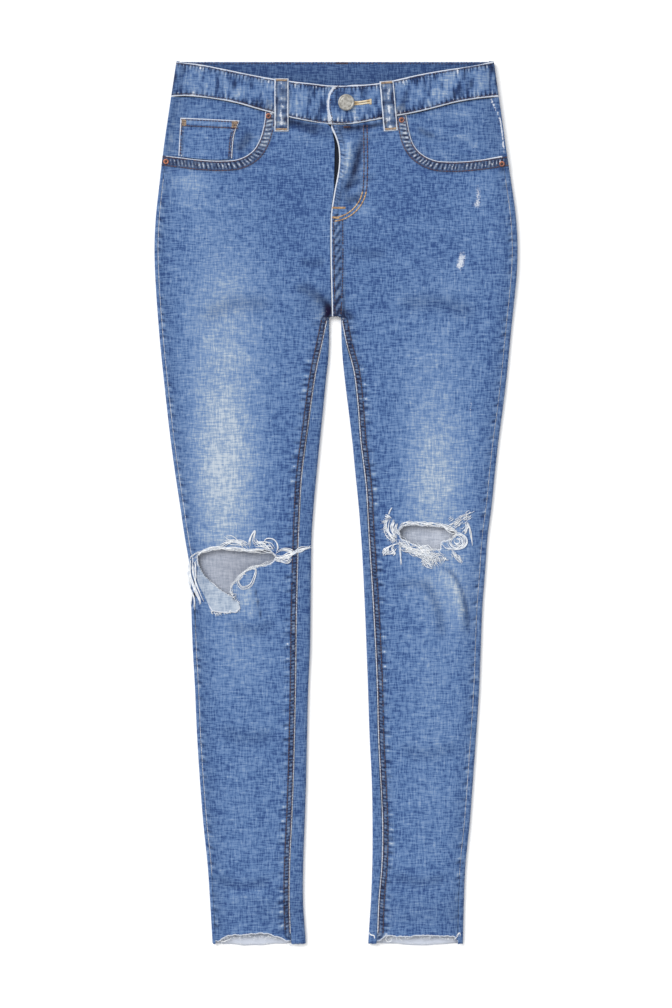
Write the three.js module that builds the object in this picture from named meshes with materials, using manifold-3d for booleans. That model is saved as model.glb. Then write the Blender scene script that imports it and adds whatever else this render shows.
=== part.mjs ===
// Ripped skinny jeans, laid flat and face up. Millimetres: +X to the viewer's right, +Y from the hems
// to the waist, +Z up from the surface. Pieces are named for the wearer's side, so the right leg has
// negative X. Each leg is a flattened tube: its front panel lies on top, and its back panel goes
// underneath and round both folds, up to the seams.
import * as THREE from 'three';
import { mergeVertices } from 'three/addons/utils/BufferGeometryUtils.js';
import Module from 'manifold-3d';

const wasm = await Module();
wasm.setup();

// Driving dimensions.
const DENIM = 1.2; // one layer of denim
const BAND = 2.0; // waistband: a strip folded double
const TRIM = 1.0; // frayed edges, zip tape
const GAP = 0.3; // clearance between neighbouring pieces
const LAID = 6.0; // height of a laid tube, front face to back face
const WAIST_Y = 476.8; // top edge of the waistband at the back
const BAND_LOW_Y = 439.2; // lower edge of the waistband at the back
const CROTCH_Y = 201.5; // fold between the legs
const CROTCH_X = -0.5; // centre back seam
const HEM_Y = -473.5; // raw edge of the back hems at the side seams
const FRINGE_Y = -477.0; // reach of the frayed hems
const SEAM_INSET = { right: 3.6, left: 5.6 }; // outseam to side fold, on the top face
const BUTTON = { x: 11, y: 431.5, radius: 8.8, shank: 1.5, height: 3.6, slotHalf: 1.9, slotLength: 21 };
const LOOP_WIDTH = 12.6;
const RIVET = { radius: 2.9, height: 1.3 };
const REACH = 260; // half width of the tool solids that trim the cloth

// Rows of Y where the folds and seams are set out, waist to hem.
const SEAT_ROWS = [BAND_LOW_Y - GAP, 410, 375, 345, 310, 280, 250, 235, 220, CROTCH_Y + 3];
const LEG_ROWS = [CROTCH_Y - 2.5, 190, 178, 160, 135, 105, 70, 35, 0, -35, -70, -110, -155, -200, -250,
  -300, -345, -390, -430, -462, FRINGE_Y];

// Levels of the layers above the underside of the back, where LAID is the outer face of the front.
const FRONT = [LAID - DENIM, LAID];
const UNDER_FRONT = [LAID - 2 * DENIM - GAP, LAID - DENIM - GAP];
const ON_FRONT = [LAID + GAP, LAID + GAP + TRIM];
const BAND_TOP = LAID + DENIM;
const BAND_FRONT = [BAND_TOP - BAND, BAND_TOP];
const BAND_UNDER = [BAND_TOP - 2 * BAND - GAP, BAND_TOP - BAND - GAP];
const SEAT_LIFT = DENIM + GAP; // the seat rests on the back pockets and the back belt loops
const LIFT_SPAN = [190, 250]; // between the legs' level and the seat's level

const COLOURS = {
  denim: 0x5f80ae, inside: 0xaab4c4, fringe: 0xd9dde4, metal: 0x9c9b99, copper: 0x7d675f, tape: 0x33415c,
};

function material(colour, metalness = 0) {
  return new THREE.MeshStandardMaterial({ color: colour, roughness: metalness ? 0.4 : 0.9, metalness });
}

// Smooth curve through [position, value] pairs in rising order of position.
function curve(points) {
  const slope = (i) => {
    const a = points[Math.max(i - 1, 0)];
    const b = points[Math.min(i + 1, points.length - 1)];
    return (b[1] - a[1]) / (b[0] - a[0]);
  };
  return (at) => {
    const last = points.length - 2;
    const found = points.findIndex((p, i) => i <= last && at <= points[i + 1][0]);
    const i = found < 0 ? last : found;
    const span = points[i + 1][0] - points[i][0];
    const t = Math.min(Math.max((at - points[i][0]) / span, 0), 1);
    const rise = points[i + 1][1] - points[i][1];
    const blend = t * t * (3 - 2 * t);
    return points[i][1] + rise * blend
      + span * t * (1 - t) * (slope(i) * (1 - t) - slope(i + 1) * t);
  };
}

// Steps from a to b, both ends included.
function steps(a, b, count) {
  return Array.from({ length: count + 1 }, (_, i) => a + (b - a) * i / count);
}

// Side folds and seams: X by Y, hem to waist.
const FOLD = {
  right: {
    outer: curve([[-480, -132.5], [-460, -134], [-395, -138], [-352, -142.5], [-266, -149], [-201, -152],
      [-136, -155.5], [-71, -157.5], [-50, -161], [-6.5, -167.5], [58, -177], [123, -184.5], [188, -191],
      [253, -195.2], [296, -195.2], [339, -191], [382, -186], [436, -178.2], [477, -171.5]]),
    inner: curve([[-480, -31], [-460, -33.5], [-430, -35.5], [-395, -35.5], [-309, -32.5], [-201, -30],
      [-158, -28], [-71, -27], [-28, -26], [37, -20.5], [101, -14], [145, -9.7], [166, -7.6], [205, -7.4]]),
  },
  left: {
    outer: curve([[-480, 137], [-460, 137.2], [-395, 139.3], [-352, 143.6], [-266, 150], [-201, 154.4],
      [-115, 157.7], [-71, 161], [-28, 164.2], [-6.5, 167.4], [58, 174], [123, 182.5], [188, 189],
      [253, 195.2], [296, 195.2], [339, 190], [382, 183.6], [436, 176], [477, 170]]),
    inner: curve([[-480, 33], [-460, 35.6], [-395, 39], [-309, 38.9], [-266, 36.8], [-201, 34.6],
      [-115, 31.3], [-50, 28], [-6.5, 24.8], [37, 20.5], [80, 16.2], [123, 10.8], [166, 6.5], [205, 5.4]]),
  },
};
const INSEAM = {
  right: curve([[-480, -48], [-460, -48.6], [-428, -49.7], [-384, -49.1], [-341, -47], [-298, -45.4],
    [-212, -43.2], [-104, -41.6], [-17, -39], [26, -36.7], [85, -29.2], [118, -24.8], [145, -20.5],
    [172, -15], [196, -11.6], [205, -11.2]]),
  left: curve([[-480, 44], [-460, 44.3], [-428, 45.6], [-384, 49.1], [-352, 49.7], [-298, 47.5],
    [-255, 45.4], [-190, 43.7], [-115, 40], [-17, 34], [15, 32.3], [69, 26], [112, 22.7],
    [145, 18.4], [172, 12], [196, 9.6], [205, 9.2]]),
};
const SIDES = ['right', 'left'];
const sign = (side) => (side === 'right' ? -1 : 1);
const outseam = (side, y) => FOLD[side].outer(y) - sign(side) * SEAM_INSET[side];

// Edges at the waist and fly.
const bandTop = curve([[-176, WAIST_Y], [-147, 473], [-104, 464.4], [-71, 458], [-28, 452.5], [5, 450.2],
  [45, 452.5], [91, 462.2], [134, 469.8], [174, WAIST_Y]]);
const bandLow = curve([[-180, 438.5], [-158, 439], [-136, 436.3], [-114, 433], [-77, 422.8], [-50, 415.8],
  [-12, 409.2], [10, 408.4], [48, 414.2], [91, 422.3], [134, 433.1], [180, 439.6]]);
const flyEdge = curve([[198, -4.3], [285, -5.9], [312, -5.4], [334, -2.2], [361, 2.7], [377, 3.2],
  [390, 1.1], [406, -5.4], [420, -8]]);
const overlapEnd = curve([[405, -5.4], [415, -6.6], [427, -8.6], [436, -8], [444, -5.4], [452, 2]]);
const FLY_GAPE = 4.5; // the fly edge stands away from the under side here
const GAPE_Y = [338, 402];

// Pocket openings: X by Y would double back, so each is a chain of points from waistband to outseam.
const POCKET_EDGE = {
  right: [[-76, 424], [-77, 412], [-79.5, 400], [-83, 390], [-89, 380.5], [-97, 374.4], [-107, 370.6],
    [-120, 369.4], [-147, 370.4], [-168, 373], [-186, 375.2]],
  left: [[75.5, 420], [77.5, 408], [79.5, 398], [82, 390], [87.5, 381], [95.5, 374.4], [107, 369.6],
    [123, 368.3], [155, 370.4], [186, 375.2]],
};

function seatLift(y) {
  const t = Math.min(Math.max((y - LIFT_SPAN[0]) / (LIFT_SPAN[1] - LIFT_SPAN[0]), 0), 1);
  return SEAT_LIFT * t * t * (3 - 2 * t);
}

// --- Solids -----------------------------------------------------------------------------------

function solid(geometry) {
  const bare = geometry.index ? geometry.toNonIndexed() : geometry.clone();
  bare.deleteAttribute('uv');
  bare.deleteAttribute('normal');
  const merged = mergeVertices(bare, 1e-4);
  return new wasm.Manifold(new wasm.Mesh({
    numProp: 3,
    vertProperties: new Float32Array(merged.attributes.position.array),
    triVerts: new Uint32Array(merged.index.array),
  }));
}

function geometryOf(body) {
  const mesh = body.getMesh();
  const geometry = new THREE.BufferGeometry();
  geometry.setAttribute('position', new THREE.BufferAttribute(new Float32Array(mesh.vertProperties), 3));
  geometry.setIndex(new THREE.BufferAttribute(new Uint32Array(mesh.triVerts), 1));
  geometry.computeVertexNormals();
  return geometry;
}

// Upright prism over an outline in XY.
function prism(outline, low, high) {
  const shape = new THREE.Shape(outline.map(([x, y]) => new THREE.Vector2(x, y)));
  const geometry = new THREE.ExtrudeGeometry(shape, { depth: high - low, bevelEnabled: false });
  return solid(geometry.translate(0, 0, low));
}

// Layer of cloth between two levels, following the seat's lift, across the whole garment.
function layer([low, high]) {
  const rows = [-500, ...steps(...LIFT_SPAN, 5), 500];
  const under = rows.map((y) => new THREE.Vector2(y, seatLift(y) + low));
  const over = rows.map((y) => new THREE.Vector2(y, seatLift(y) + high)).reverse();
  const shape = new THREE.Shape([...under, ...over]);
  const geometry = new THREE.ExtrudeGeometry(shape, { depth: 2 * REACH, bevelEnabled: false });
  geometry.applyMatrix4(new THREE.Matrix4().makeBasis(
    new THREE.Vector3(0, 1, 0), new THREE.Vector3(0, 0, 1), new THREE.Vector3(1, 0, 0),
  ));
  return solid(geometry.translate(-REACH, 0, 0));
}

// Piece of cloth cut to an outline and laid at a level, with holes cut through it.
function cloth(outline, levels, holes = []) {
  const cut = prism(outline, -50, 50).intersect(layer(levels));
  return holes.reduce((piece, hole) => piece.subtract(prism(hole, -50, 50)), cut);
}

// Half of a section, from the middle of the underside to one seam. A folded half goes round the
// side fold and back over the top, and a flat half runs on along the underside.
function halfSection({ dir, fold, seam, low, high, inset, folded }) {
  const radius = (high - low) / 2;
  const centre = fold - dir * radius;
  const turn = 4;
  if (!folded) {
    return steps(centre, seam, turn + 1).map((x) => [x, low + inset]);
  }
  const bend = steps(-Math.PI / 2, Math.PI / 2, turn).map((a) => [
    centre + dir * (radius - inset) * Math.cos(a), low + radius + (radius - inset) * Math.sin(a),
  ]);
  return [...bend, [seam, high - inset]];
}

function section(ends, low, high, wall) {
  const face = (inset) => {
    const [left, right] = ends.map((end, i) => halfSection({ ...end, dir: i ? 1 : -1, low, high, inset }));
    const span = steps(left[0][0], right[0][0], 4).slice(1, -1).map((x) => [x, low + inset]);
    return [...left.reverse(), ...span, ...right];
  };
  return { outer: face(0), inner: face(wall) };
}

// Wall swept through sections at falling Y: rows of { y, outer, inner } with equal point counts.
function sweep(rows) {
  const width = rows[0].outer.length;
  const ring = 2 * width;
  const positions = rows.flatMap(({ y, outer, inner }) => (
    [...outer, ...inner.slice().reverse()].flatMap(([x, z]) => [x, y, z])
  ));
  const faces = [];
  const quad = (a, b, c, d) => faces.push(a, b, c, a, c, d);
  for (let r = 0; r + 1 < rows.length; r += 1) {
    for (let i = 0; i < ring; i += 1) {
      const next = (i + 1) % ring;
      quad(r * ring + i, r * ring + next, (r + 1) * ring + next, (r + 1) * ring + i);
    }
  }
  const end = (rows.length - 1) * ring;
  for (let i = 0; i + 1 < width; i += 1) {
    quad(i, ring - 1 - i, ring - 2 - i, i + 1);
    quad(end + i, end + i + 1, end + ring - 2 - i, end + ring - 1 - i);
  }
  const geometry = new THREE.BufferGeometry();
  geometry.setAttribute('position', new THREE.BufferAttribute(new Float32Array(positions), 3));
  geometry.setIndex(faces);
  return solid(geometry);
}

// --- Pieces -----------------------------------------------------------------------------------

const jeans = new THREE.Group();

function add(name, body, look) {
  const mesh = new THREE.Mesh(body.isBufferGeometry ? body : geometryOf(body), look);
  mesh.name = name;
  jeans.add(mesh);
  return mesh;
}

const denim = () => material(COLOURS.denim);
const fringe = () => material(COLOURS.fringe);

// Back shell of one side, waistband to hem, before the yoke is cut from it.
function backShell(side) {
  const dir = sign(side);
  const centreSeam = { fold: CROTCH_X + dir * 12, seam: CROTCH_X + dir * GAP / 2, folded: false };
  const row = (y, inner) => {
    const outer = { fold: FOLD[side].outer(y), seam: outseam(side, y), folded: true };
    const ends = side === 'right' ? [outer, inner] : [inner, outer];
    return { y, ...section(ends, seatLift(y), seatLift(y) + LAID, DENIM) };
  };
  const innerFold = (y) => ({
    fold: FOLD[side].inner(y), seam: INSEAM[side](y) - dir * GAP / 2, folded: true,
  });
  return sweep([...SEAT_ROWS.map((y) => row(y, centreSeam)), ...LEG_ROWS.map((y) => row(y, innerFold(y)))]);
}

// Raw edges of the hems, right leg's outer corner to left leg's outer corner.
const BACK_HEM = [[-REACH, HEM_Y + 2], [-132, HEM_Y], [-104, HEM_Y - 2.4], [-70, HEM_Y - 3],
  [-46, HEM_Y - 1], [20, HEM_Y], [72, HEM_Y - 2.6], [105, HEM_Y - 2.6], [REACH, HEM_Y + 2]];
const FRONT_HEM = {
  right: [[-125, -471], [-119, -467], [-98, -464.5], [-80, -463], [-60, -467.5], [-52, -471]],
  left: [[127, -467], [114, -466], [92, -465], [66, -466.5], [54, -465], [48, -470]],
};
const YOKE_SEAM = [[REACH, 420], [CROTCH_X, 386], [-REACH, 420]];

function addBack(side) {
  const shell = backShell(side);
  const lowered = YOKE_SEAM.map(([x, y]) => [x, y - GAP]);
  const top = [[-REACH, 500], [REACH, 500]];
  add(`back_${side}`, shell.intersect(prism([...BACK_HEM, ...lowered], -50, 50)), denim());
  add(`yoke_${side}`, shell.intersect(prism([...YOKE_SEAM, ...top], -50, 50)), denim());
}

// Back pocket, under the back panel: straight top, pointed foot.
function addBackPocket(side) {
  const dir = sign(side);
  const outline = [[26, 384], [160, 398], [148, 292], [92, 262], [38, 285]].map(([x, y]) => [dir * x, y]);
  add(`back_pocket_${side}`, prism(outline, 0, DENIM), denim());
}

// Tears across the knees, and the narrow slit below the left one.
const KNEE_TEAR = {
  right: [[-149, -57.2], [-142, -49.6], [-120, -48.6], [-96, -49.7], [-71, -51.6], [-64.8, -57.2],
    [-69, -62.6], [-85, -67], [-98, -71.3], [-103.7, -79.9], [-112.3, -87.5], [-114.5, -95],
    [-111.2, -100.4], [-123, -92.9], [-136, -82.1], [-144.7, -71.3], [-148.4, -63]],
  left: [[68, -29.2], [74.5, -23.8], [85.3, -23.2], [101.5, -24.3], [117.7, -25.9], [128.5, -30.2],
    [129.6, -32.6], [125.3, -36.7], [113.4, -40], [112.3, -48.6], [96.1, -48.6], [82.1, -42.1],
    [71.3, -37.8]],
};

// Front panel: fly edge or centre seam, waistband, pocket opening, outseam, hem and inseam.
function addFront(side) {
  const dir = sign(side);
  const centre = steps(CROTCH_Y + 0.5, 405, 22).map((y) => {
    const t = Math.min(Math.max((y - GAPE_Y[0]) / (GAPE_Y[1] - GAPE_Y[0]), 0), 1);
    const gape = side === 'right' ? FLY_GAPE * Math.sin(Math.PI * t) : -GAP;
    return [flyEdge(y) - GAP - gape, y];
  });
  const pocket = POCKET_EDGE[side];
  const waistX = steps(side === 'right' ? -9 : -5, pocket[0][0], 6);
  const waist = waistX.map((x) => [x, bandLow(x) - GAP]);
  const outerRows = [...SEAT_ROWS, ...LEG_ROWS].filter((y) => y < 376 && y > -463);
  const outer = outerRows.map((y) => [outseam(side, y) - dir * GAP / 2, y]);
  const innerRows = LEG_ROWS.filter((y) => y > -463).reverse();
  const inner = innerRows.map((y) => [INSEAM[side](y) + dir * GAP / 2, y]);
  const crotch = [[dir < 0 ? -8.5 : 6.5, CROTCH_Y + 0.5]];
  const outline = [...centre, ...waist, ...pocket.slice(1, -1), ...outer, ...FRONT_HEM[side], ...inner,
    ...crotch];
  add(`front_${side}`, cloth(outline, FRONT, [KNEE_TEAR[side]]), denim());
}

// Facing that shows in the pocket opening and runs on under the edge of the front.
function addFacing(side) {
  const dir = sign(side);
  const waist = steps(dir * 171, dir * 66, 6).map((x) => [x, bandLow(x) - GAP]);
  const hidden = [[67, 400], [75, 378], [93, 362], [122, 356]].map(([x, y]) => [dir * x, y]);
  const sideRows = [361, 375, 410, 430];
  const sideSeam = sideRows.map((y) => [FOLD[side].outer(y) - dir * (LAID / 2 + 2 * GAP), y]);
  add(`pocket_facing_${side}`, cloth([...waist, ...hidden, ...sideSeam], UNDER_FRONT), denim());
}

// Coin pocket on the right facing, from its mouth down to the edge of the pocket opening.
function addCoinPocket() {
  const outline = [[-167.4, 415.8], [-103.7, 412.6], [-109.1, 398.5], [-111.2, 382.3], [-111.8, 372],
    [-120, 370.6], [-147, 371.4], [-164, 373.4], [-169.6, 375]];
  add('coin_pocket', cloth(outline, [LAID - DENIM, LAID - GAP]), denim());
}

// Waistband at the back, folded round both sides as far as the front pieces.
function addBandBack() {
  const rows = [WAIST_Y, (WAIST_Y + BAND_LOW_Y) / 2, BAND_LOW_Y].map((y) => {
    const ends = SIDES.map((side) => ({
      fold: FOLD[side].outer(y), seam: outseam(side, y), folded: true,
    }));
    return { y, ...section(ends, SEAT_LIFT, SEAT_LIFT + BAND_TOP, BAND) };
  });
  add('waistband_back', sweep(rows), denim());
}

function addBandFronts() {
  const seamAt = (side) => (FOLD[side].outer(WAIST_Y) + FOLD[side].outer(BAND_LOW_Y)) / 2
    - sign(side) * (SEAM_INSET[side] + GAP);
  const sideCut = (side) => [WAIST_Y, BAND_LOW_Y - 1].map((y) => [outseam(side, y) - sign(side) * GAP, y]);

  // The left piece ends in the overlap, with its buttonhole.
  const overlap = steps(405, 452, 6).map((y) => [overlapEnd(y), y]);
  const leftXs = steps(14, seamAt('left') - 4, 8);
  const left = [...leftXs.map((x) => [x, bandLow(x)]), ...sideCut('left').reverse(),
    ...leftXs.reverse().map((x) => [x, bandTop(x)]), ...overlap.reverse().slice(1, -1)];
  const slotRound = (x, from) => steps(from, from + Math.PI, 6).map((a) => [
    x + BUTTON.slotHalf * Math.cos(a), BUTTON.y + BUTTON.slotHalf * Math.sin(a),
  ]);
  const slot = [...slotRound(BUTTON.x, Math.PI / 2), ...slotRound(BUTTON.x + BUTTON.slotLength, -Math.PI / 2)];
  add('waistband_front_left', cloth(left, BAND_FRONT, [slot]), denim());

  // The right piece dips under the overlap and carries the button.
  const rightXs = steps(seamAt('right') + 4, 36, 10);
  const outline = [...rightXs.map((x) => [x, bandLow(x)]), ...rightXs.reverse().map((x) => [x, bandTop(x)]),
    ...sideCut('right')];
  const low = (level) => level + SEAT_LIFT;
  const profile = [[-REACH, low(BAND_FRONT[0])], [-26, low(BAND_FRONT[0])], [-11, low(BAND_UNDER[0])],
    [REACH, low(BAND_UNDER[0])], [REACH, low(BAND_UNDER[1])], [-11, low(BAND_UNDER[1])],
    [-26, low(BAND_FRONT[1])], [-REACH, low(BAND_FRONT[1])]];
  const dip = new THREE.ExtrudeGeometry(
    new THREE.Shape(profile.map(([x, z]) => new THREE.Vector2(x, z))), { depth: 200, bevelEnabled: false },
  ).rotateX(Math.PI / 2).translate(0, 520, 0);
  add('waistband_front_right', prism(outline, -50, 50).intersect(solid(dip)), denim());
}

// Fly: the closed zip under the left front, and the shield under both.
function addFly() {
  const zip = [[-3, 330], [8, 318], [22, 322], [24, 405.5], [-2, 405.5]];
  const shield = [[-18, 405], [32, 405.5], [31, 340], [16, 310], [-10, 308], [-16, 340]];
  add('zip', cloth(zip, [LAID - DENIM - GAP - TRIM, LAID - DENIM - GAP]), material(COLOURS.tape));
  const shieldTop = LAID - DENIM - TRIM - 2 * GAP;
  add('fly_shield', cloth(shield, [shieldTop - TRIM, shieldTop]), denim());
}

// Front belt loop: a strip that stands just off the waistband and is tacked to the front below it.
function frontLoop(x, topY, bandEdgeY, bottomY, lean) {
  const on = SEAT_LIFT + BAND_TOP + GAP;
  const down = SEAT_LIFT + LAID + GAP;
  const fall = 4;
  const side = [[topY, on], [topY, on + DENIM], [(topY + bandEdgeY) / 2, on + DENIM + GAP], [bandEdgeY, on + DENIM],
    [bandEdgeY - fall, down + DENIM], [bottomY, down + DENIM], [bottomY, down],
    [bandEdgeY - fall - GAP, down], [bandEdgeY - GAP, on]];
  const middle = (topY + bottomY) / 2;
  const shape = new THREE.Shape(side.map(([y, z]) => new THREE.Vector2(y - middle, z)));
  const strip = new THREE.ExtrudeGeometry(shape, { depth: LOOP_WIDTH, bevelEnabled: false });
  strip.applyMatrix4(new THREE.Matrix4().makeBasis(
    new THREE.Vector3(0, 1, 0), new THREE.Vector3(0, 0, 1), new THREE.Vector3(1, 0, 0),
  ));
  return strip.translate(-LOOP_WIDTH / 2, 0, 0).rotateZ(lean).translate(x, middle, 0);
}

function addLoops() {
  add('belt_loop_front_right', frontLoop(-58.6, 457.4, 414.5, 400.7, 0), denim());
  add('belt_loop_front_left', frontLoop(56.6, 454.8, 413.2, 401.2, 0.09), denim());
  const backLoops = { belt_loop_back_right: -105, belt_loop_back_centre: CROTCH_X, belt_loop_back_left: 105 };
  for (const [name, x] of Object.entries(backLoops)) {
    const half = LOOP_WIDTH / 2;
    const outline = [[x - half, 425], [x + half, 425], [x + half, WAIST_Y - GAP], [x - half, WAIST_Y - GAP]];
    add(name, prism(outline, 0, DENIM), denim());
  }
}

// Shank button through the buttonhole, with a domed, ringed head.
function addButton() {
  const foot = SEAT_LIFT + BAND_UNDER[1] + GAP;
  const head = SEAT_LIFT + BAND_TOP + GAP;
  const { radius, shank, height } = BUTTON;
  const profile = [[0, foot], [shank, foot], [shank, head], [radius - 0.6, head], [radius, head + 0.8],
    [radius, head + height - 1], [radius - 0.8, head + height], [radius - 2, head + height],
    [radius - 2.6, head + height - 0.7], [0, head + height - 0.4]];
  const turned = new THREE.LatheGeometry(profile.map(([r, z]) => new THREE.Vector2(r, z)), 24);
  add('button', turned.rotateX(Math.PI / 2).translate(BUTTON.x, BUTTON.y, 0), material(COLOURS.metal, 0.8));
}

function addRivets() {
  const places = {
    rivet_right_inner: [-72.6, 417.4], rivet_right_outer: [-183, 368.6],
    rivet_left_inner: [70.6, 413], rivet_left_outer: [178.6, 366],
  };
  const base = SEAT_LIFT + LAID + GAP;
  const { radius, height } = RIVET;
  const profile = [[0, base], [radius, base], [radius, base + height / 2], [radius / 2, base + height],
    [0, base + height]];
  for (const [name, [x, y]] of Object.entries(places)) {
    const dome = new THREE.LatheGeometry(profile.map(([r, z]) => new THREE.Vector2(r, z)), 12);
    add(name, dome.rotateX(Math.PI / 2).translate(x, y, 0), material(COLOURS.copper, 0.8));
  }
}

// Cloth turned out of the right knee's tear, and the reach of the frayed threads at both knees.
function addKnees() {
  const flap = [[-148, -64], [-144.9, -72], [-136, -83], [-123, -93.7], [-111.3, -101.2], [-104, -107],
    [-103, -112.5], [-106, -116.6], [-120, -117.7], [-134, -115.6], [-141.5, -99.4], [-149.5, -81]];
  add('knee_flap_right', cloth(flap, ON_FRONT), material(COLOURS.inside));
  const strip = [[-124, -38], [-90, -30], [-62, -34], [-53, -43.5], [-26, -42], [-26, -47.5], [-53, -53],
    [-66, -59], [-98, -55], [-124, -50.5]];
  add('knee_fringe_right', cloth(strip, ON_FRONT), fringe());
  const tassel = [[-157.5, -70], [-151.5, -76], [-144.5, -98], [-142, -114.5], [-147, -115], [-153, -100],
    [-158.4, -84]];
  add('knee_tassel_right', cloth(tassel, ON_FRONT), fringe());
  const band = [[51.8, -8.6], [66, -16], [66, -31.3], [70.2, -40], [82.1, -44.3], [96.1, -50.8],
    [118.8, -50.8], [119.9, -61.6], [105.8, -69.1], [69.1, -67], [51.8, -57.2]];
  add('knee_fringe_left', cloth(band, ON_FRONT), fringe());
  const tuft = [[110.2, -9.7], [144.7, -7.6], [146.9, -44.3], [136.1, -63.7], [126, -63.7], [121.5, -44.3],
    [130.7, -32.4], [123.1, -22]];
  add('knee_tuft_left', cloth(tuft, ON_FRONT), fringe());
}

// Reach of the frayed hem threads, on the inside of the back beyond the front's edge.
function addHemFringe(side) {
  const [first, ...rest] = FRONT_HEM[side];
  const edge = [first, ...rest].map(([x, y]) => [x, y - GAP]);
  const end = [[rest[rest.length - 1][0], FRINGE_Y], [first[0], FRINGE_Y]];
  add(`hem_fringe_${side}`, cloth([...edge, ...end], [DENIM + GAP, DENIM + GAP + TRIM]), fringe());
}

for (const side of SIDES) {
  addBack(side);
  addBackPocket(side);
  addFront(side);
  addFacing(side);
  addHemFringe(side);
}
addCoinPocket();
addBandBack();
addBandFronts();
addFly();
addLoops();
addButton();
addRivets();
addKnees();

export default jeans;
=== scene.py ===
"""Ripped skinny jeans, laid flat and face up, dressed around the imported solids.

Working sizes are millimetres in the garment's own frame (+X to the viewer's right, +Y to the waist, +Z up
from the surface), and build_mesh turns them into metres. Pieces are named for the wearer's side, so the
right leg has negative X. Outlines and folds are read from the solids. Seams, tears, creases and wear are
named here.
"""
import logging
import math
from collections.abc import Callable, Sequence
from dataclasses import dataclass
from enum import Enum
from typing import ClassVar

import bpy
import numpy as np
from bpy.types import Material, Node, NodeSocket, NodeTree, Object
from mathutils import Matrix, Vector
from mathutils.geometry import delaunay_2d_cdt
from mathutils.kdtree import KDTree


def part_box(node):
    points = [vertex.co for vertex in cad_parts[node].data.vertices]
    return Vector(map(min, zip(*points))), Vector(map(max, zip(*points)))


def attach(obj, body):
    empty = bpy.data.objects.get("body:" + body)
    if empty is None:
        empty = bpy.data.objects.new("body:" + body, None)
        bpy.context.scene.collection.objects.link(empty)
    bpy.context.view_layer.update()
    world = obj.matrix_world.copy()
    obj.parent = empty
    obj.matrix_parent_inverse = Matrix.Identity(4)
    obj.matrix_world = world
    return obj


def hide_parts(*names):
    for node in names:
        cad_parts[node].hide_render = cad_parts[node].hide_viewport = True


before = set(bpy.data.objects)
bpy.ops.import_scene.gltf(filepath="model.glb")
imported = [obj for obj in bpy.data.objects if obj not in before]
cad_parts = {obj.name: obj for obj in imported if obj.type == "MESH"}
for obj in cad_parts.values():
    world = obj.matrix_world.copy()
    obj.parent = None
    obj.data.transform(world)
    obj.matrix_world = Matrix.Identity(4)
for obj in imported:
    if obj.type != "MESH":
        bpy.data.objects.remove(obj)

log = logging.getLogger("jeans")
MM = 0.001
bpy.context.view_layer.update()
ROOT = "root"
GROUND = "surface"
PAINT = "paint"

Array = np.ndarray
Points = Sequence[tuple[float, float]]
Field = Callable[[Array, Array], Array]
PaintField = Callable[[Array, Array, Array], Array]


class Side(Enum):
    """The wearer's side, with the sign of its X."""

    RIGHT = -1
    LEFT = 1

    @property
    def word(self) -> str:
        """The side's name as the nodes spell it."""
        return self.name.lower()


# --- Driving sizes, millimetres ---


DENIM = 1.2
BAND = 2.0
GAP = 0.3  # clearance between neighbouring pieces
CROTCH_Y = 201.5
CROWN = 2.2  # how far the front bellies up between the side folds
CROWN_RUN = 24.0
CENTRE_FRONT_X = -5.0
CENTRE_BACK_X = -0.5
YOKE_SEAM = (386.0, 34.0, 260.5)  # height at the centre back, then its rise over a run
LOOSE_SIDES = 5  # sides of a loose thread's tube

POCKET_MOUTH = {
    Side.RIGHT: [(-76, 424), (-77, 412), (-79.5, 400), (-83, 390), (-89, 380.5), (-97, 374.4), (-107, 370.6),
                 (-120, 369.4), (-147, 370.4), (-168, 373), (-187, 375.5)],
    Side.LEFT: [(75.5, 420), (77.5, 408), (79.5, 398), (82, 390), (87.5, 381), (95.5, 374.4), (107, 369.6),
                (123, 368.3), (155, 370.4), (184, 375)],
}
INSEAM = {
    Side.RIGHT: [(-48.6, -462), (-49.7, -428), (-49.1, -384), (-47, -341), (-45.4, -298), (-43.2, -212),
                 (-41.6, -104), (-39, -17), (-36.7, 26), (-29.2, 85), (-24.8, 118), (-20.5, 145),
                 (-14.6, 172), (-9.4, 197)],
    Side.LEFT: [(44.3, -462), (45.6, -428), (49.1, -384), (49.7, -352), (47.5, -298), (45.4, -255),
                (43.7, -190), (40, -115), (34, -17), (32.3, 15), (26, 69), (22.7, 112), (18.4, 145),
                (11, 172), (6, 197)],
}
BAND_LOW = [(-180, 438.5), (-158, 439), (-136, 436.3), (-114, 433), (-77, 422.8), (-50, 415.8), (-12, 409.2),
            (10, 408.4), (48, 414.2), (91, 422.3), (134, 433.1), (180, 439.6)]
BAND_TOP = [(-176, 476.8), (-147, 473), (-104, 464.4), (-71, 458), (-28, 452.5), (5, 450.2), (45, 452.5),
            (91, 462.2), (134, 469.8), (174, 476.8)]
FLY_EDGE = [(-4.3, 198), (-5.9, 285), (-5.4, 312), (-2.2, 334), (2.7, 361), (3.2, 377), (1.1, 390),
            (-5.4, 406)]
FLY_STITCH = [(29.7, 408), (29.7, 350), (29, 338), (26, 328), (20, 319), (12, 312.5), (4, 309), (-2, 308)]
SIDE_SEAM = [(166.9, 436), (171.7, 425.5), (176, 415.8), (178.2, 404), (179.3, 393), (181.4, 377)]
OVERLAP_END = [(-5.4, 405), (-6.6, 415), (-8.6, 427), (-8, 436), (-5.4, 444), (2, 452)]
FRONT_LOOPS = {  # centre X, top, edge of the waistband, foot, lean
    Side.RIGHT: (-58.6, 457.4, 414.5, 400.7, 0.0),
    Side.LEFT: (56.6, 454.8, 413.2, 401.2, 0.09),
}
BUTTON_AT = (11.0, 431.5)
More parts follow.
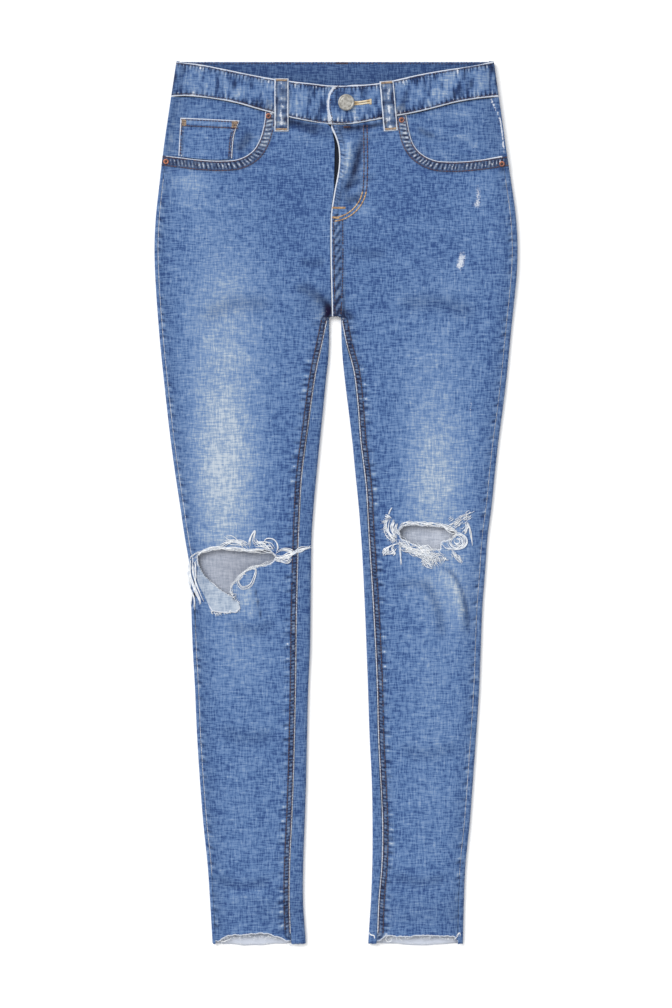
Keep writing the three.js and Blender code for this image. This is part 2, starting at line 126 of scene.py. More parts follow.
BUTTON_PROFILE = [  # radius and height, from the foot to the middle of the face
    (0.01, -1.2), (1.6, -1.2), (1.6, 0.0), (7.6, 0.1), (8.4, 0.5), (8.8, 1.2), (8.8, 2.2), (8.4, 2.9),
    (7.8, 3.25), (7.1, 3.2), (6.7, 2.95), (6.3, 2.75), (5.9, 3.0), (5.3, 3.1), (4.6, 3.05), (3.8, 3.1),
    (3.0, 3.15), (2.2, 3.1), (1.4, 3.15), (0.7, 3.1), (0.01, 3.15),
]
RIVET_PROFILE = [
    (0.01, 0.0), (2.7, 0.0), (2.95, 0.25), (2.95, 0.6), (2.7, 0.95), (2.2, 1.1), (1.8, 0.95), (1.45, 0.6),
    (1.1, 0.6), (0.85, 0.9), (0.5, 1.15), (0.01, 1.2),
]
RIVETS = {"rivet_right_inner": (-72.6, 417.4), "rivet_right_outer": (-183.0, 368.6),
          "rivet_left_inner": (70.6, 413.0), "rivet_left_outer": (178.6, 366.0)}
ZIP_X = 14.2
ZIP_RUN = (324.0, 392.0)  # lowest and highest tooth


# --- Lines and curves in plan ---


def columns(*parts: Array | Sequence[float]) -> Array:
    """Rows made of coordinates, each given as a column."""
    return np.column_stack(parts)


def bell(distance: Array, width: Array | float) -> Array:
    """1 where the distance is 0, falling off over a width."""
    return np.exp(-(distance / width) ** 2)


def unit(ways: Array, least: float = 1e-9) -> Array:
    """Directions scaled to length 1."""
    return ways / np.maximum(np.linalg.norm(ways, axis=1), least)[:, None]


def leftward(ways: Array) -> Array:
    """Directions in plan, turned a quarter turn to the left."""
    return columns(-ways[:, 1], ways[:, 0])


def round_ways(loop: Array) -> Array:
    """Unit directions round a closed loop at each of its points."""
    return unit(np.roll(loop, -1, axis=0) - np.roll(loop, 1, axis=0))


def hermite(knots: Array, values: Array, at: Array) -> Array:
    """Smooth interpolation through values at rising knots, straight beyond the ends.

    Args:
        knots: Rising positions, shape (n,).
        values: Values there, shape (n,) or (n, k).
        at: Positions to read, shape (m,).

    Returns:
        Values at those positions, shape (m,) or (m, k).
    """
    step = np.diff(knots)
    flat = values.ndim == 1
    table = values[:, None] if flat else values
    rise = np.diff(table, axis=0) / step[:, None]
    if len(step) > 1:
        middle = (rise[:-1] * step[1:, None] + rise[1:] * step[:-1, None]) / (step[1:] + step[:-1])[:, None]
        slope = np.vstack([rise[:1], middle, rise[-1:]])
    else:
        slope = np.vstack([rise, rise])
    i = np.clip(np.searchsorted(knots, at) - 1, 0, len(step) - 1)
    t = ((at - knots[i]) / step[i])[:, None]
    inside = np.clip(t, 0, 1)
    h = step[i][:, None]
    a, b = table[i], table[i + 1]
    made = (a * (1 + 2 * inside) * (1 - inside) ** 2 + b * inside ** 2 * (3 - 2 * inside)
            + slope[i] * h * inside * (1 - inside) ** 2 + slope[i + 1] * h * inside ** 2 * (inside - 1))
    made += np.where(t < 0, slope[i] * t * h, 0) + np.where(t > 1, slope[i + 1] * (t - 1) * h, 0)
    return made[:, 0] if flat else made


class Curve:
    """Smooth function of one variable through given points."""

    def __init__(self, points: Points) -> None:
        """Args:
            points: (position, value) pairs, in any order.
        """
        table = np.array(sorted(points), float)
        self.knots, self.values = table[:, 0], table[:, 1]

    def __call__(self, at: Array | float) -> Array:
        """Value at each position."""
        flat = np.atleast_1d(np.asarray(at, float))
        return hermite(self.knots, self.values, flat.ravel()).reshape(flat.shape)


class Line:
    """Open line in plan, with its length along it."""

    def __init__(self, points: Points | Array, smooth: float = 2.0) -> None:
        """Args:
            points: Points that the line passes through.
            smooth: Spacing of the rounded line's points, or 0 to keep the points as they are.
        """
        self.points = np.array(points, float)
        if smooth:
            run = self._run()
            count = max(int(run[-1] / smooth), 2)
            self.points = hermite(run, self.points, np.linspace(0, run[-1], count + 1))
        self.run = self._run()

    def _run(self) -> Array:
        """Length along the line at each of its points."""
        return np.concatenate([[0], np.cumsum(np.linalg.norm(np.diff(self.points, axis=0), axis=1))])

    @property
    def length(self) -> float:
        """Whole length of the line."""
        return float(self.run[-1])

    def at(self, run: Array) -> tuple[Array, Array]:
        """Points and unit directions at lengths along the line."""
        places, ahead, behind = (
            columns(*(np.interp(run + more, self.run, self.points[:, k]) for k in (0, 1)))
            for more in (0.0, 0.5, -0.5))
        return places, unit(ahead - behind)

    def offset(self, distance: float) -> "Line":
        """The line moved to its left, looking along it, by a distance."""
        places, way = self.at(self.run)
        return Line(places + distance * leftward(way), smooth=0)

    def cut(self, start: float, end: float) -> "Line":
        """The stretch between two lengths along the line."""
        run = np.linspace(start, end, max(int(abs(end - start) / 2), 2) + 1)
        return Line(self.at(run)[0], smooth=0)

    def nearest(self, x: Array, y: Array, reach: float) -> tuple[Array, Array, Array]:
        """How points lie to the line.

        Args:
            x: X of the points.
            y: Y of the points.
            reach: Points further away than this may be left at that distance.

        Returns:
            Distance, length along the line, and side (+1 to its left, -1 to its right).
        """
        near = np.full(x.shape, float(reach))
        along = np.zeros(x.shape)
        side = np.ones(x.shape)
        low, high = self.points.min(axis=0) - reach, self.points.max(axis=0) + reach
        inside = np.nonzero((x > low[0]) & (x < high[0]) & (y > low[1]) & (y < high[1]))[0]
        if not len(inside):
            return near, along, side
        px, py = x[inside], y[inside]
        best, place, hand = near[inside], along[inside], side[inside]
        stride = max(len(self.points) // 80, 1)
        kept = sorted({*range(0, len(self.points), stride), len(self.points) - 1})
        for i, j in zip(kept[:-1], kept[1:]):
            a, b = self.points[i], self.points[j]
            way = b - a
            size = float(np.hypot(*way)) or 1e-9
            t = np.clip(((px - a[0]) * way[0] + (py - a[1]) * way[1]) / size ** 2, 0, 1)
            dx, dy = px - a[0] - t * way[0], py - a[1] - t * way[1]
            d = np.hypot(dx, dy)
            closer = d < best
            best = np.where(closer, d, best)
            place = np.where(closer, self.run[i] + t * (self.run[j] - self.run[i]), place)
            hand = np.where(closer, np.where(way[0] * dy - way[1] * dx >= 0, 1.0, -1.0), hand)
        near[inside], along[inside], side[inside] = best, place, hand
        return near, along, side


def blend(low: float, high: float, value: Array | float) -> Array:
    """Smooth step from 0 at low to 1 at high."""
    t = np.clip((np.asarray(value, float) - low) / (high - low), 0, 1)
    return t * t * (3 - 2 * t)


# --- Reading the solids ---


def solid_faces(node: str) -> tuple[Array, Array]:
    """A solid's vertices in millimetres, shared ones merged, and its triangles.

    Args:
        node: The solid's node.

    Returns:
        Vertices, shape (n, 3), and triangles, shape (m, 3).
    """
    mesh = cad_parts[node].data
    mesh.calc_loop_triangles()
    places = np.empty(3 * len(mesh.vertices))
    mesh.vertices.foreach_get("co", places)
    corners = np.empty(3 * len(mesh.loop_triangles), int)
    mesh.loop_triangles.foreach_get("vertices", corners)
    shared, which = np.unique(np.round(places.reshape(-1, 3) / MM, 3), axis=0, return_inverse=True)
    return shared, which.ravel()[corners].reshape(-1, 3)


def open_edges(faces: Array) -> list[tuple[int, int]]:
    """Edges that only one triangle has, each in that triangle's order."""
    edges = {(int(f[i]), int(f[(i + 1) % 3])) for f in faces for i in range(3)}
    return [(i, j) for i, j in edges if (j, i) not in edges]


def plan_loops(node: str) -> list[Array]:
    """Outline and holes of the face that a flat piece turns up, each turning anticlockwise, outline first.

    Args:
        node: A flat piece's node.

    Returns:
        Closed loops in plan, the outline first.
    """
    places, faces = solid_faces(node)
    a, b, c = (places[faces[:, k]] for k in range(3))
    normal = np.cross(b - a, c - a)
    shown = normal[:, 2] > 0.7 * np.maximum(np.linalg.norm(normal, axis=1), 1e-12)
    after = dict(open_edges(faces[shown]))
    loops = []
    while after:
        start, at = next(iter(after.items()))
        del after[start]
        loop = [start]
        while at != start:
            loop.append(at)
            at = after.pop(at)
        loops.append(straightened(places[loop][:, :2]))
    loops.sort(key=lambda p: -abs(plan_area(p)))
    return [p if plan_area(p) > 0 else p[::-1] for p in loops]


def plan_area(loop: Array) -> float:
    """Area inside a closed loop, positive where it turns anticlockwise."""
    ahead = np.roll(loop, -1, axis=0)
    return float(np.sum(loop[:, 0] * ahead[:, 1] - ahead[:, 0] * loop[:, 1]) / 2)


def turns(loop: Array) -> Array:
    """Turn at each corner of a closed loop, in degrees.

    Args:
        loop: Closed loop of points.

    Returns:
        Degrees, shape (n,).
    """
    before, after = loop - np.roll(loop, 1, axis=0), np.roll(loop, -1, axis=0) - loop
    angle = np.arctan2(after[:, 1], after[:, 0]) - np.arctan2(before[:, 1], before[:, 0])
    return np.degrees(np.abs((angle + np.pi) % (2 * np.pi) - np.pi))


def straightened(loop: Array) -> Array:
    """The loop without the points that lie on a straight stretch."""
    kept = loop[turns(loop) > 0.3]
    return kept if len(kept) > 2 else loop


def rounded_loop(loop: Array, step: float, corner: float = 38.0) -> Array:
    """Closed loop rounded between its corners.

    Args:
        loop: Closed loop of points.
        step: Spacing of the points given back.
        corner: Turn in degrees from which a point stays sharp.

    Returns:
        Evenly spaced points round the loop, with its corners kept.
    """
    sharp = np.nonzero(turns(loop) > corner)[0]
    if not len(sharp):
        sharp = np.array([0])
    loop = np.roll(loop, -sharp[0], axis=0)
    sharp = [*(sharp - sharp[0]), len(loop)]
    ring = np.vstack([loop, loop[:1]])
    return np.vstack([Line(ring[i:j + 1], smooth=step).points[:-1] for i, j in zip(sharp[:-1], sharp[1:])])


def closed(loop: Array) -> Line:
    """Line all round a loop, back to its first point."""
    return Line(np.vstack([loop, loop[:1]]), smooth=0)


def inside_loops(x: Array, y: Array, loops: Sequence[Array]) -> Array:
    """Which points lie inside the first loop and outside the others.

    Args:
        x: X of the points.
        y: Y of the points.
        loops: Outline, then holes.

    Returns:
        True for the points inside.
    """
    crossings = np.zeros(x.shape, int)
    for loop in loops:
        for (ax, ay), (bx, by) in zip(loop, np.roll(loop, -1, axis=0)):
            if ay == by:
                continue
            row = (y >= min(ay, by)) & (y < max(ay, by))
            crossings[row] += x[row] < ax + (y[row] - ay) * (bx - ax) / (by - ay)
    return crossings % 2 == 1


class SideFolds:
    """Side folds, seams and levels of one side, read from its back panel and yoke."""

    def __init__(self, side: Side) -> None:
        """Args:
            side: The side to read.
        """
        self.side = side
        rows: dict[float, Array] = {}
        for node in (f"back_{side.word}", f"yoke_{side.word}"):
            places, _ = solid_faces(node)
            for y in np.unique(places[:, 1]):
                row = places[np.abs(places[:, 1] - y) < 0.01]
                if len(row) >= 20:
                    rows[float(y)] = row
        outer, inner, outseam, low, high = [], [], [], [], []
        sign = side.value
        for y, row in rows.items():
            top = np.unique(np.round(row[row[:, 2] > row[:, 2].max() - 0.01][:, 0] * sign, 2))
            outer.append((y, sign * (row[:, 0] * sign).max()))
            outseam.append((y, sign * top[top < top.max() - 0.2].max()))
            low.append((y, row[:, 2].min()))
            high.append((y, row[:, 2].max()))
            if y < CROTCH_Y:
                inner.append((y, sign * (row[:, 0] * sign).min()))
        self.outer, self.inner, self.outseam = Curve(outer), Curve(inner), Curve(outseam)
        self.low, self.high = Curve(low), Curve(high)

    def distance(self, x: Array, y: Array) -> Array:
        """How far points on the front lie from the nearest fold of this side.

        Args:
            x: X of the points.
            y: Y of the points.

        Returns:
            Distances, 0 beyond the fold.
        """
        sign = self.side.value
        out = (self.outer(y) - x) * sign
        leg = (x - self.inner(np.minimum(y, CROTCH_Y - 3))) * sign
        corner = np.hypot(np.minimum(leg, 0), y - CROTCH_Y)
        seat = np.where(leg > 0, np.maximum(y - CROTCH_Y, 0) + leg, corner)
        return np.maximum(np.minimum(out, np.where(y < CROTCH_Y, leg, seat)), 0)


# --- The front's relief: belly, creases and seam puckers ---


@dataclass(frozen=True)
class Crease:
    """One soft trough (negative height) or ridge (positive) along a line."""

    points: tuple[tuple[float, float], ...]
    width: float
    height: float

    def rise(self, x: Array, y: Array) -> Array:
        """Height that it adds at each point, fading out at both ends.

        Args:
            x: X of the points.
            y: Y of the points.

        Returns:
            Heights.
        """
        line = Line(self.points, smooth=4)
        near, along, _ = line.nearest(x, y, self.width * 2.5)
        ends = blend(0, 0.25, along / line.length) * blend(0, 0.25, 1 - along / line.length)
        return np.where(near < self.width * 2.49, self.height * bell(near, self.width) * ends, 0)


@dataclass(frozen=True)
class Pucker:
    """Uneven gathers that a seam draws up in the cloth beside it.

    Attributes:
        points: The seam.
        pitch: Spacing of the gathers.
        peak: Distance from the seam at which they are strongest.
        reach: How far they fade to either side of that.
        height: Their height.
        tone: How strongly they show in the colour.
        seed: Source of their unevenness.
        sides: Sides of the seam that they lie on.
        slant: How far they lean along the seam.
    """

    points: tuple[tuple[float, float], ...]
    pitch: float
    peak: float
    reach: float
    height: float
    tone: float
    seed: int
    sides: tuple[int, ...] = (1, -1)
    slant: float = 0.5

    def swell(self, x: Array, y: Array) -> Array:
        """Gathers from -1 to 1 beside the seam, fading away from it.

        Args:
            x: X of the points.
            y: Y of the points.

        Returns:
            Values from -1 to 1.
        """
        line = Line(self.points, smooth=4)
        far = self.peak + 2.2 * self.reach
        near, along, hand = line.nearest(x, y, far + 1)
        rng = np.random.default_rng(self.seed)
        place = along + self.slant * near
        wave = np.zeros(x.shape)
        for part, share in ((1.0, 0.6), (0.7, 0.35), (2.1, 0.45)):
            wave += share * np.sin(2 * np.pi * (place / (self.pitch * part) + rng.random()))
        loud = 0.7 + 0.3 * np.sin(2 * np.pi * (along / 95 + rng.random()))
        fade = bell(near - self.peak, self.reach) * (1 - blend(far - 2, far, near))
        return np.where(np.isin(hand, self.sides), np.clip(wave, -1, 1) * loud * fade, 0)


def mottle(x: Array, y: Array, pitch_x: float, pitch_y: float, seed: int) -> Array:
    """Smooth uneven values from 0 to 1, with blotches of about the two pitches.

    Args:
        x: X of the points.
        y: Y of the points.
        pitch_x: Size of a blotch across.
        pitch_y: Size of a blotch along.
        seed: Source of the unevenness.

    Returns:
        Values from 0 to 1.
    """
    table = np.random.default_rng(seed).random((97, 89))
    u, v = x / pitch_x, y / pitch_y
    i, j = np.floor(u).astype(int), np.floor(v).astype(int)
    s, t = blend(0, 1, u - i), blend(0, 1, v - j)
    rows = [table[(i + a) % 97, (j + b) % 89] for a in (0, 1) for b in (0, 1)]
    return (rows[0] * (1 - t) + rows[1] * t) * (1 - s) + (rows[2] * (1 - t) + rows[3] * t) * s


def teeth(along: Array, pitch: float, seed: int) -> Array:
    """Uneven ticks from -1 to 1 along a seam.

    Args:
        along: Lengths along the seam.
        pitch: Spacing of the ticks.
        seed: Source of their unevenness.

    Returns:
        Values from -1 to 1.
    """
    drift = mottle(along, 0 * along + 0.5, 4 * pitch, 1.0, seed)
    loud = mottle(along, 0 * along + 9.5, 1.7 * pitch, 1.0, seed + 1)
    return np.clip(np.sin(2 * np.pi * (along / pitch + 1.4 * drift)) * (0.5 + 1.3 * loud), -1, 1)


CREASES = (
    Crease(((109, -66), (123, -73), (132, -86), (138, -104), (141.5, -120), (143, -146)), 2.3, -1.5),
    Crease(((112, -76), (124, -85), (131, -100), (134, -120), (135, -145)), 5.0, 1.4),
    Crease(((92, -78), (103, -96), (112, -122), (116, -150)), 5.0, -0.9),
    Crease(((-88.6, -88), (-84.5, -104), (-81, -126)), 1.3, -0.6),
    Crease(((-96, -92), (-91, -108), (-88, -124)), 3.4, 0.8),
    Crease(((27, 400), (24, 372), (16, 346), (8, 326)), 3.6, -0.8),
    Crease(((16, 398), (13, 368), (6, 342)), 4.4, 2.6),
    Crease(((25, 378), (22, 356), (14, 336)), 2.2, 0.9),
    Crease(((26, 402), (30, 376), (28, 350)), 4.0, 1.2),
    Crease(((4, 338), (16, 343), (30, 346), (48, 352)), 2.2, -0.6),
    Crease(((8, 346), (24, 352), (46, 359)), 3.0, 1.3),
    Crease(((12, 330), (22, 336), (30, 340)), 3.4, 1.2),
    Crease(((-58, 412), (-38, 405), (-14, 397)), 4.6, -1.4),
    Crease(((-52, 402), (-34, 396), (-14, 388)), 5.0, 0.9),
    Crease(((52, 402), (40, 398), (26, 396)), 4.0, 0.8),
    Crease(((6, 331), (18, 330), (28, 334)), 3.6, 0.9),
    Crease(((-2, 404), (24, 404), (56, 409)), 3.0, -1.0),
    Crease(((-38, 240), (-24, 230), (-9, 214)), 3.6, -0.7),
    Crease(((-34, 232), (-22, 220), (-12, 206)), 5.0, 0.6),
    Crease(((-40, 262), (-24, 258), (-8, 262)), 5.0, -0.7),
    Crease(((10, 276), (34, 268), (60, 270)), 6.0, -0.6),
    Crease(((-150, 196), (-110, 214), (-60, 214)), 9.0, -0.7),
    Crease(((60, 214), (110, 216), (160, 200)), 9.0, -0.7),
    Crease(((-160, 150), (-120, 160), (-70, 152)), 8.0, 0.6),
    Crease(((70, 148), (120, 160), (165, 150)), 8.0, 0.6),
    Crease(((-160, -30), (-134, -38), (-104, -36)), 5.0, 0.8),
    Crease(((-120, -128), (-96, -136), (-60, -128)), 7.0, -0.6),
    Crease(((60, -92), (84, -86), (104, -92)), 5.0, -0.6),
    Crease(((-130, -240), (-100, -252), (-60, -246)), 8.0, -0.5),
    Crease(((62, -262), (100, -270), (140, -258)), 8.0, -0.5),
    Crease(((-134, -400), (-104, -412), (-64, -404)), 6.0, -0.6),
    Crease(((-122, -430), (-96, -420), (-62, -434)), 6.0, 0.6),
    Crease(((54, -398), (92, -408), (128, -400)), 6.0, -0.6),
    Crease(((60, -446), (84, -440), (110, -448)), 5.0, 0.6),
)
FACING_CREASES = (
    Crease(((82, 398), (100, 392), (124, 388)), 3.2, -0.8),
    Crease(((88, 404), (116, 398), (150, 396)), 4.0, 0.8),
    Crease(((110, 384), (134, 378), (160, 378)), 3.0, 0.6),
    Crease(((-98, 404), (-92, 392), (-98, 380)), 3.4, -0.8),
)
PAINTED_FOLDS = (  # creases drawn in the colour alone: a painted highlight when positive, painted shade when negative
    Crease(((30, 404), (27, 384), (21, 362), (14, 344), (8, 330)), 4.2, -0.62),
    Crease(((24, 344), (17, 334), (8, 324)), 5.0, -0.16),
    Crease(((-48, 236), (-26, 226), (-4, 210)), 4.5, -0.35),
    Crease(((-88.2, -88), (-84.1, -104), (-80.6, -126)), 0.8, -0.6),
    Crease(((3, 306), (3.2, 270), (4, 240), (4, 203)), 4.4, -0.2),
    Crease(((102, -70), (124, -82), (134, -104), (137, -126)), 4.0, 0.14),
    Crease(((11, 398), (13, 374), (9, 346)), 4.5, 0.22),
    Crease(((40, 347), (24, 340), (12, 332)), 3.0, 0.26),
    Crease(((32, 335), (20, 327), (10, 322)), 3.0, -0.35),
    Crease(((-66, 416), (-36, 409.5), (-8, 404.5)), 2.6, -0.55),
    Crease(((-4, 405.6), (30, 406.2), (64, 412.5)), 2.2, -0.6),
    Crease(((90, 417), (120, 420), (156, 421)), 3.4, 0.16),
    Crease(((86, 406), (97, 399), (108, 395)), 3.0, -0.4),
    Crease(((118, 399), (132, 396), (146, 388), (156, 382)), 2.4, 0.24),
    Crease(((-90, 402), (-100, 388), (-108, 378)), 6.0, -0.5),
    Crease(((98, 386), (118, 379), (140, 380)), 4.0, 0.14),
    Crease(((-176, 402), (-178, 388), (-181, 376)), 3.0, 0.2),
)
PUCKERS = (
    Pucker(tuple(INSEAM[Side.RIGHT]), 7.6, 10.0, 3.4, 0.5, 1.25, 11, sides=(1,), slant=0.15),
    Pucker(tuple(INSEAM[Side.LEFT]), 7.6, 10.0, 3.4, 0.5, 1.25, 12, sides=(-1,), slant=0.15),
    Pucker(tuple(INSEAM[Side.RIGHT]), 6.5, 2.0, 3.6, 0.2, 0.5, 18, sides=(-1,), slant=0.15),
    Pucker(tuple(INSEAM[Side.LEFT]), 6.5, 2.0, 3.6, 0.2, 0.5, 19, sides=(1,), slant=0.15),
    Pucker(tuple(POCKET_MOUTH[Side.RIGHT]), 5.4, 5.8, 2.8, 0.25, 0.9, 13, sides=(1,), slant=0.4),
    Pucker(tuple(POCKET_MOUTH[Side.LEFT]), 5.4, 5.8, 2.8, 0.25, 0.9, 14, sides=(-1,), slant=-0.4),
    Pucker(tuple(BAND_LOW), 9, 3.0, 5.5, 0.4, 0.5, 15, sides=(-1,), slant=0.1),
    Pucker(tuple(FLY_STITCH), 7, 0.0, 5.0, 0.35, 0.5, 16, slant=0.3),
    Pucker(tuple(FLY_EDGE), 6.5, 4.0, 3.6, 0.3, 0.7, 17, sides=(-1,), slant=0.6),
    Pucker(tuple(FLY_EDGE[:3]), 6.0, 11.0, 3.0, 0.3, 0.7, 20, sides=(-1,), slant=0.2),
)
OUTSEAM_PUCKER = {"pitch": 8.5, "peak": 1.6, "reach": 3.4, "height": 0.4, "tone": 1.0, "slant": 0.5}


@dataclass(frozen=True)
class Fell:
    """Doubled band of cloth beside a seam, raised between its two rows of stitching."""

    points: tuple[tuple[float, float], ...]
    hand: int
    width: float
    height: float = 0.4
    first: float = 1.4
    rung: float = 3.9
    loud: float = 1.0
    rough: float = 0.8
    slant: float = 0.3
    capped: bool = False

    def _across(self, x: Array, y: Array, reach: float) -> tuple[Array, Array, Array]:
        """Distance from the seam, run along it, and whether the point lies on the band's side.

        Args:
            x: X of the points.
            y: Y of the points.
            reach: Largest distance that matters.

        Returns:
            Distance, length along the seam, and True where the point is on the band's side.
        """
        line = Line(self.points, smooth=3)
        near, along, hand = line.nearest(x, y, reach)
        here = hand == self.hand
        if self.capped:
            here &= (along > 0.01) & (along < line.length - 0.01)
        return near, along, here

    def rise(self, x: Array, y: Array) -> Array:
        """Height that it adds, with a groove under each row of stitching.

        Args:
            x: X of the points.
            y: Y of the points.

        Returns:
            Heights.
        """
        near, _, here = self._across(x, y, self.width + 8)
        here &= near < self.width + 7
        body = self.height * (1 - blend(self.width - 0.6, self.width + 1.4, near))
        groove = sum(bell(near - row, 0.8) for row in (self.first, self.width - 1.2))
        return np.where(here, body - 0.35 * self.height * groove, 0)

    def inside(self, x: Array, y: Array) -> Array:
        """1 on the band, 0 away from it."""
        near, _, here = self._across(x, y, self.width + 4)
        return np.where(here, 1 - blend(self.width - 0.5, self.width + 0.8, near), 0)

    def ladder(self, x: Array, y: Array) -> Array:
        """Ticks from -1 to 1 across the band, between its rows of stitching.

        Args:
            x: X of the points.
            y: Y of the points.

        Returns:
            Values from -1 to 1.
        """
        near, along, here = self._across(x, y, self.width + 4)
        room = 0.22 * self.width
        here = here * blend(room - 1, room + 0.8, near) * blend(room - 0.8, room + 1, self.width - near)
        ticks = teeth(along + self.slant * near, self.rung, int(self.width * 10))
        return self.loud * here * np.clip(ticks + self.rough * (mottle(x, y, 2.2, 2.0, 71) - 0.5), -1, 1)

    def rows(self, x: Array, y: Array) -> Array:
        """1 under each row of stitching, 0 away from it."""
        near, _, here = self._across(x, y, self.width + 4)
        return here * sum(bell(near - row, 0.8) for row in (self.first, self.width - 1.2))


FELLS = {
    "inseam_right": Fell(tuple(INSEAM[Side.RIGHT]), 1, 7.4, 0.55, rung=3.6, loud=1.0, rough=3.2),
    "inseam_left": Fell(tuple(INSEAM[Side.LEFT]), -1, 7.4, 0.55, rung=3.6, loud=1.0, rough=3.2),
    "mouth_right": Fell(tuple(POCKET_MOUTH[Side.RIGHT]), 1, 11.6, 0.35),
    "mouth_left": Fell(tuple(POCKET_MOUTH[Side.LEFT]), -1, 11.6, 0.35),
    "fly": Fell(tuple(FLY_EDGE[2:]), -1, 8.0, 0.3, rung=3.4, loud=0.6, rough=1.6, capped=True),
    "centre": Fell(tuple(FLY_EDGE[:3]), -1, 14.0, 0.4, 3.4, rung=11.5, loud=0.8, rough=1.4, slant=-1.5,
                   capped=True),
}


class Relief:
    """Height of every layer of the laid jeans, as functions of X and Y."""

    def __init__(self) -> None:
        """Reads both sides' folds and prepares the puckers along the outseams."""
        self.folds = {side: SideFolds(side) for side in Side}
        self.puckers = list(PUCKERS)
        for side in Side:
            seam = [(float(self.folds[side].outseam(y)[0]), y) for y in range(-460, 361, 41)]
            self.puckers.append(Pucker(tuple(seam), seed=30 + side.value, **OUTSEAM_PUCKER))
        self.level, self.low = self.folds[Side.RIGHT].high, self.folds[Side.RIGHT].low

    def fold_distance(self, x: Array, y: Array) -> Array:
        """Distance to the nearest side fold or the crotch."""
        right, left = (self.folds[side].distance(x, y) for side in Side)
        return np.where(x < CENTRE_FRONT_X, right, left)

    def swell(self, x: Array, y: Array) -> Array:
        """All seam puckers together, as strongly as they show in the colour."""
        return sum(p.tone * p.swell(x, y) for p in self.puckers)

    def folded(self, x: Array, y: Array) -> Array:
        """Height of the creases alone."""
        return sum(c.rise(x, y) for c in CREASES) * blend(0, 14, self.fold_distance(x, y))

    def bare(self, x: Array, y: Array) -> Array:
        """Height of the front's face with its belly only."""
        return self.level(y) + CROWN * (1 - np.exp(-self.fold_distance(x, y) / CROWN_RUN))

    def front(self, x: Array, y: Array) -> Array:
        """Height of the front's face, with creases and gathers."""
        gathers = sum(p.height * p.swell(x, y) for p in self.puckers)
        return self.bare(x, y) + self.folded(x, y) + gathers

    def panel(self, x: Array, y: Array) -> Array:
        """Height of a front panel's face, with its felled bands."""
        return self.front(x, y) + sum(fell.rise(x, y) for fell in FELLS.values())


# --- Meshes ---


def quads(a: Array, b: Array, c: Array, d: Array) -> Array:
    """Two triangles for every four corners, given in order round them."""
    a, b, c, d = (np.ravel(corner) for corner in (a, b, c, d))
    return np.vstack([columns(a, b, c), columns(a, c, d)])


def double_area(flat: Array, faces: Array) -> Array:
    """Twice the area of each triangle in plan, positive where it turns anticlockwise."""
    a, b, c = (flat[faces[:, k]] for k in range(3))
    return (b[:, 0] - a[:, 0]) * (c[:, 1] - a[:, 1]) - (c[:, 0] - a[:, 0]) * (b[:, 1] - a[:, 1])


def grid_over(low: Array, high: Array, step: float) -> Array:
    """Points of a square grid over a box in plan."""
    ranges = (np.arange(low[k], high[k], step) for k in (0, 1))
    return np.stack(np.meshgrid(*ranges), axis=-1).reshape(-1, 2)


def build_mesh(name: str, places: Array, faces: Array, looks: Sequence[Material],
               look_of_face: Array | None = None, paint: Array | None = None) -> Object:
    """Makes a smooth-shaded triangle mesh.

    Args:
        name: The piece's name.
        places: Vertices in millimetres, shape (n, 3).
        faces: Triangles, shape (m, 3).
        looks: Materials, the first for faces with no other.
        look_of_face: Index into looks for each triangle.
        paint: Fade, wear and shade at each vertex, shape (n, 3).

    Returns:
        The new object, linked to the scene.
    """
    mesh = bpy.data.meshes.new(name)
    mesh.vertices.add(len(places))
    mesh.vertices.foreach_set("co", (places * MM).astype(np.float32).ravel())
    mesh.loops.add(3 * len(faces))
    mesh.loops.foreach_set("vertex_index", faces.astype(np.int32).ravel())
    mesh.polygons.add(len(faces))
    mesh.polygons.foreach_set("loop_start", np.arange(0, 3 * len(faces), 3, dtype=np.int32))
    mesh.polygons.foreach_set("use_smooth", np.ones(len(faces), bool))
    if look_of_face is not None:
        mesh.polygons.foreach_set("material_index", look_of_face.astype(np.int32))
    for look in looks:
        mesh.materials.append(look)
    if paint is not None:
        layer = mesh.color_attributes.new(PAINT, "FLOAT_COLOR", "POINT")
        colours = np.ones((len(places), 4), np.float32)
        colours[:, :3] = paint
        layer.data.foreach_set("color", colours.ravel())
    mesh.update(calc_edges=True)
    mesh.validate()
    piece = bpy.data.objects.new(name, mesh)
    bpy.context.scene.collection.objects.link(piece)
    return piece


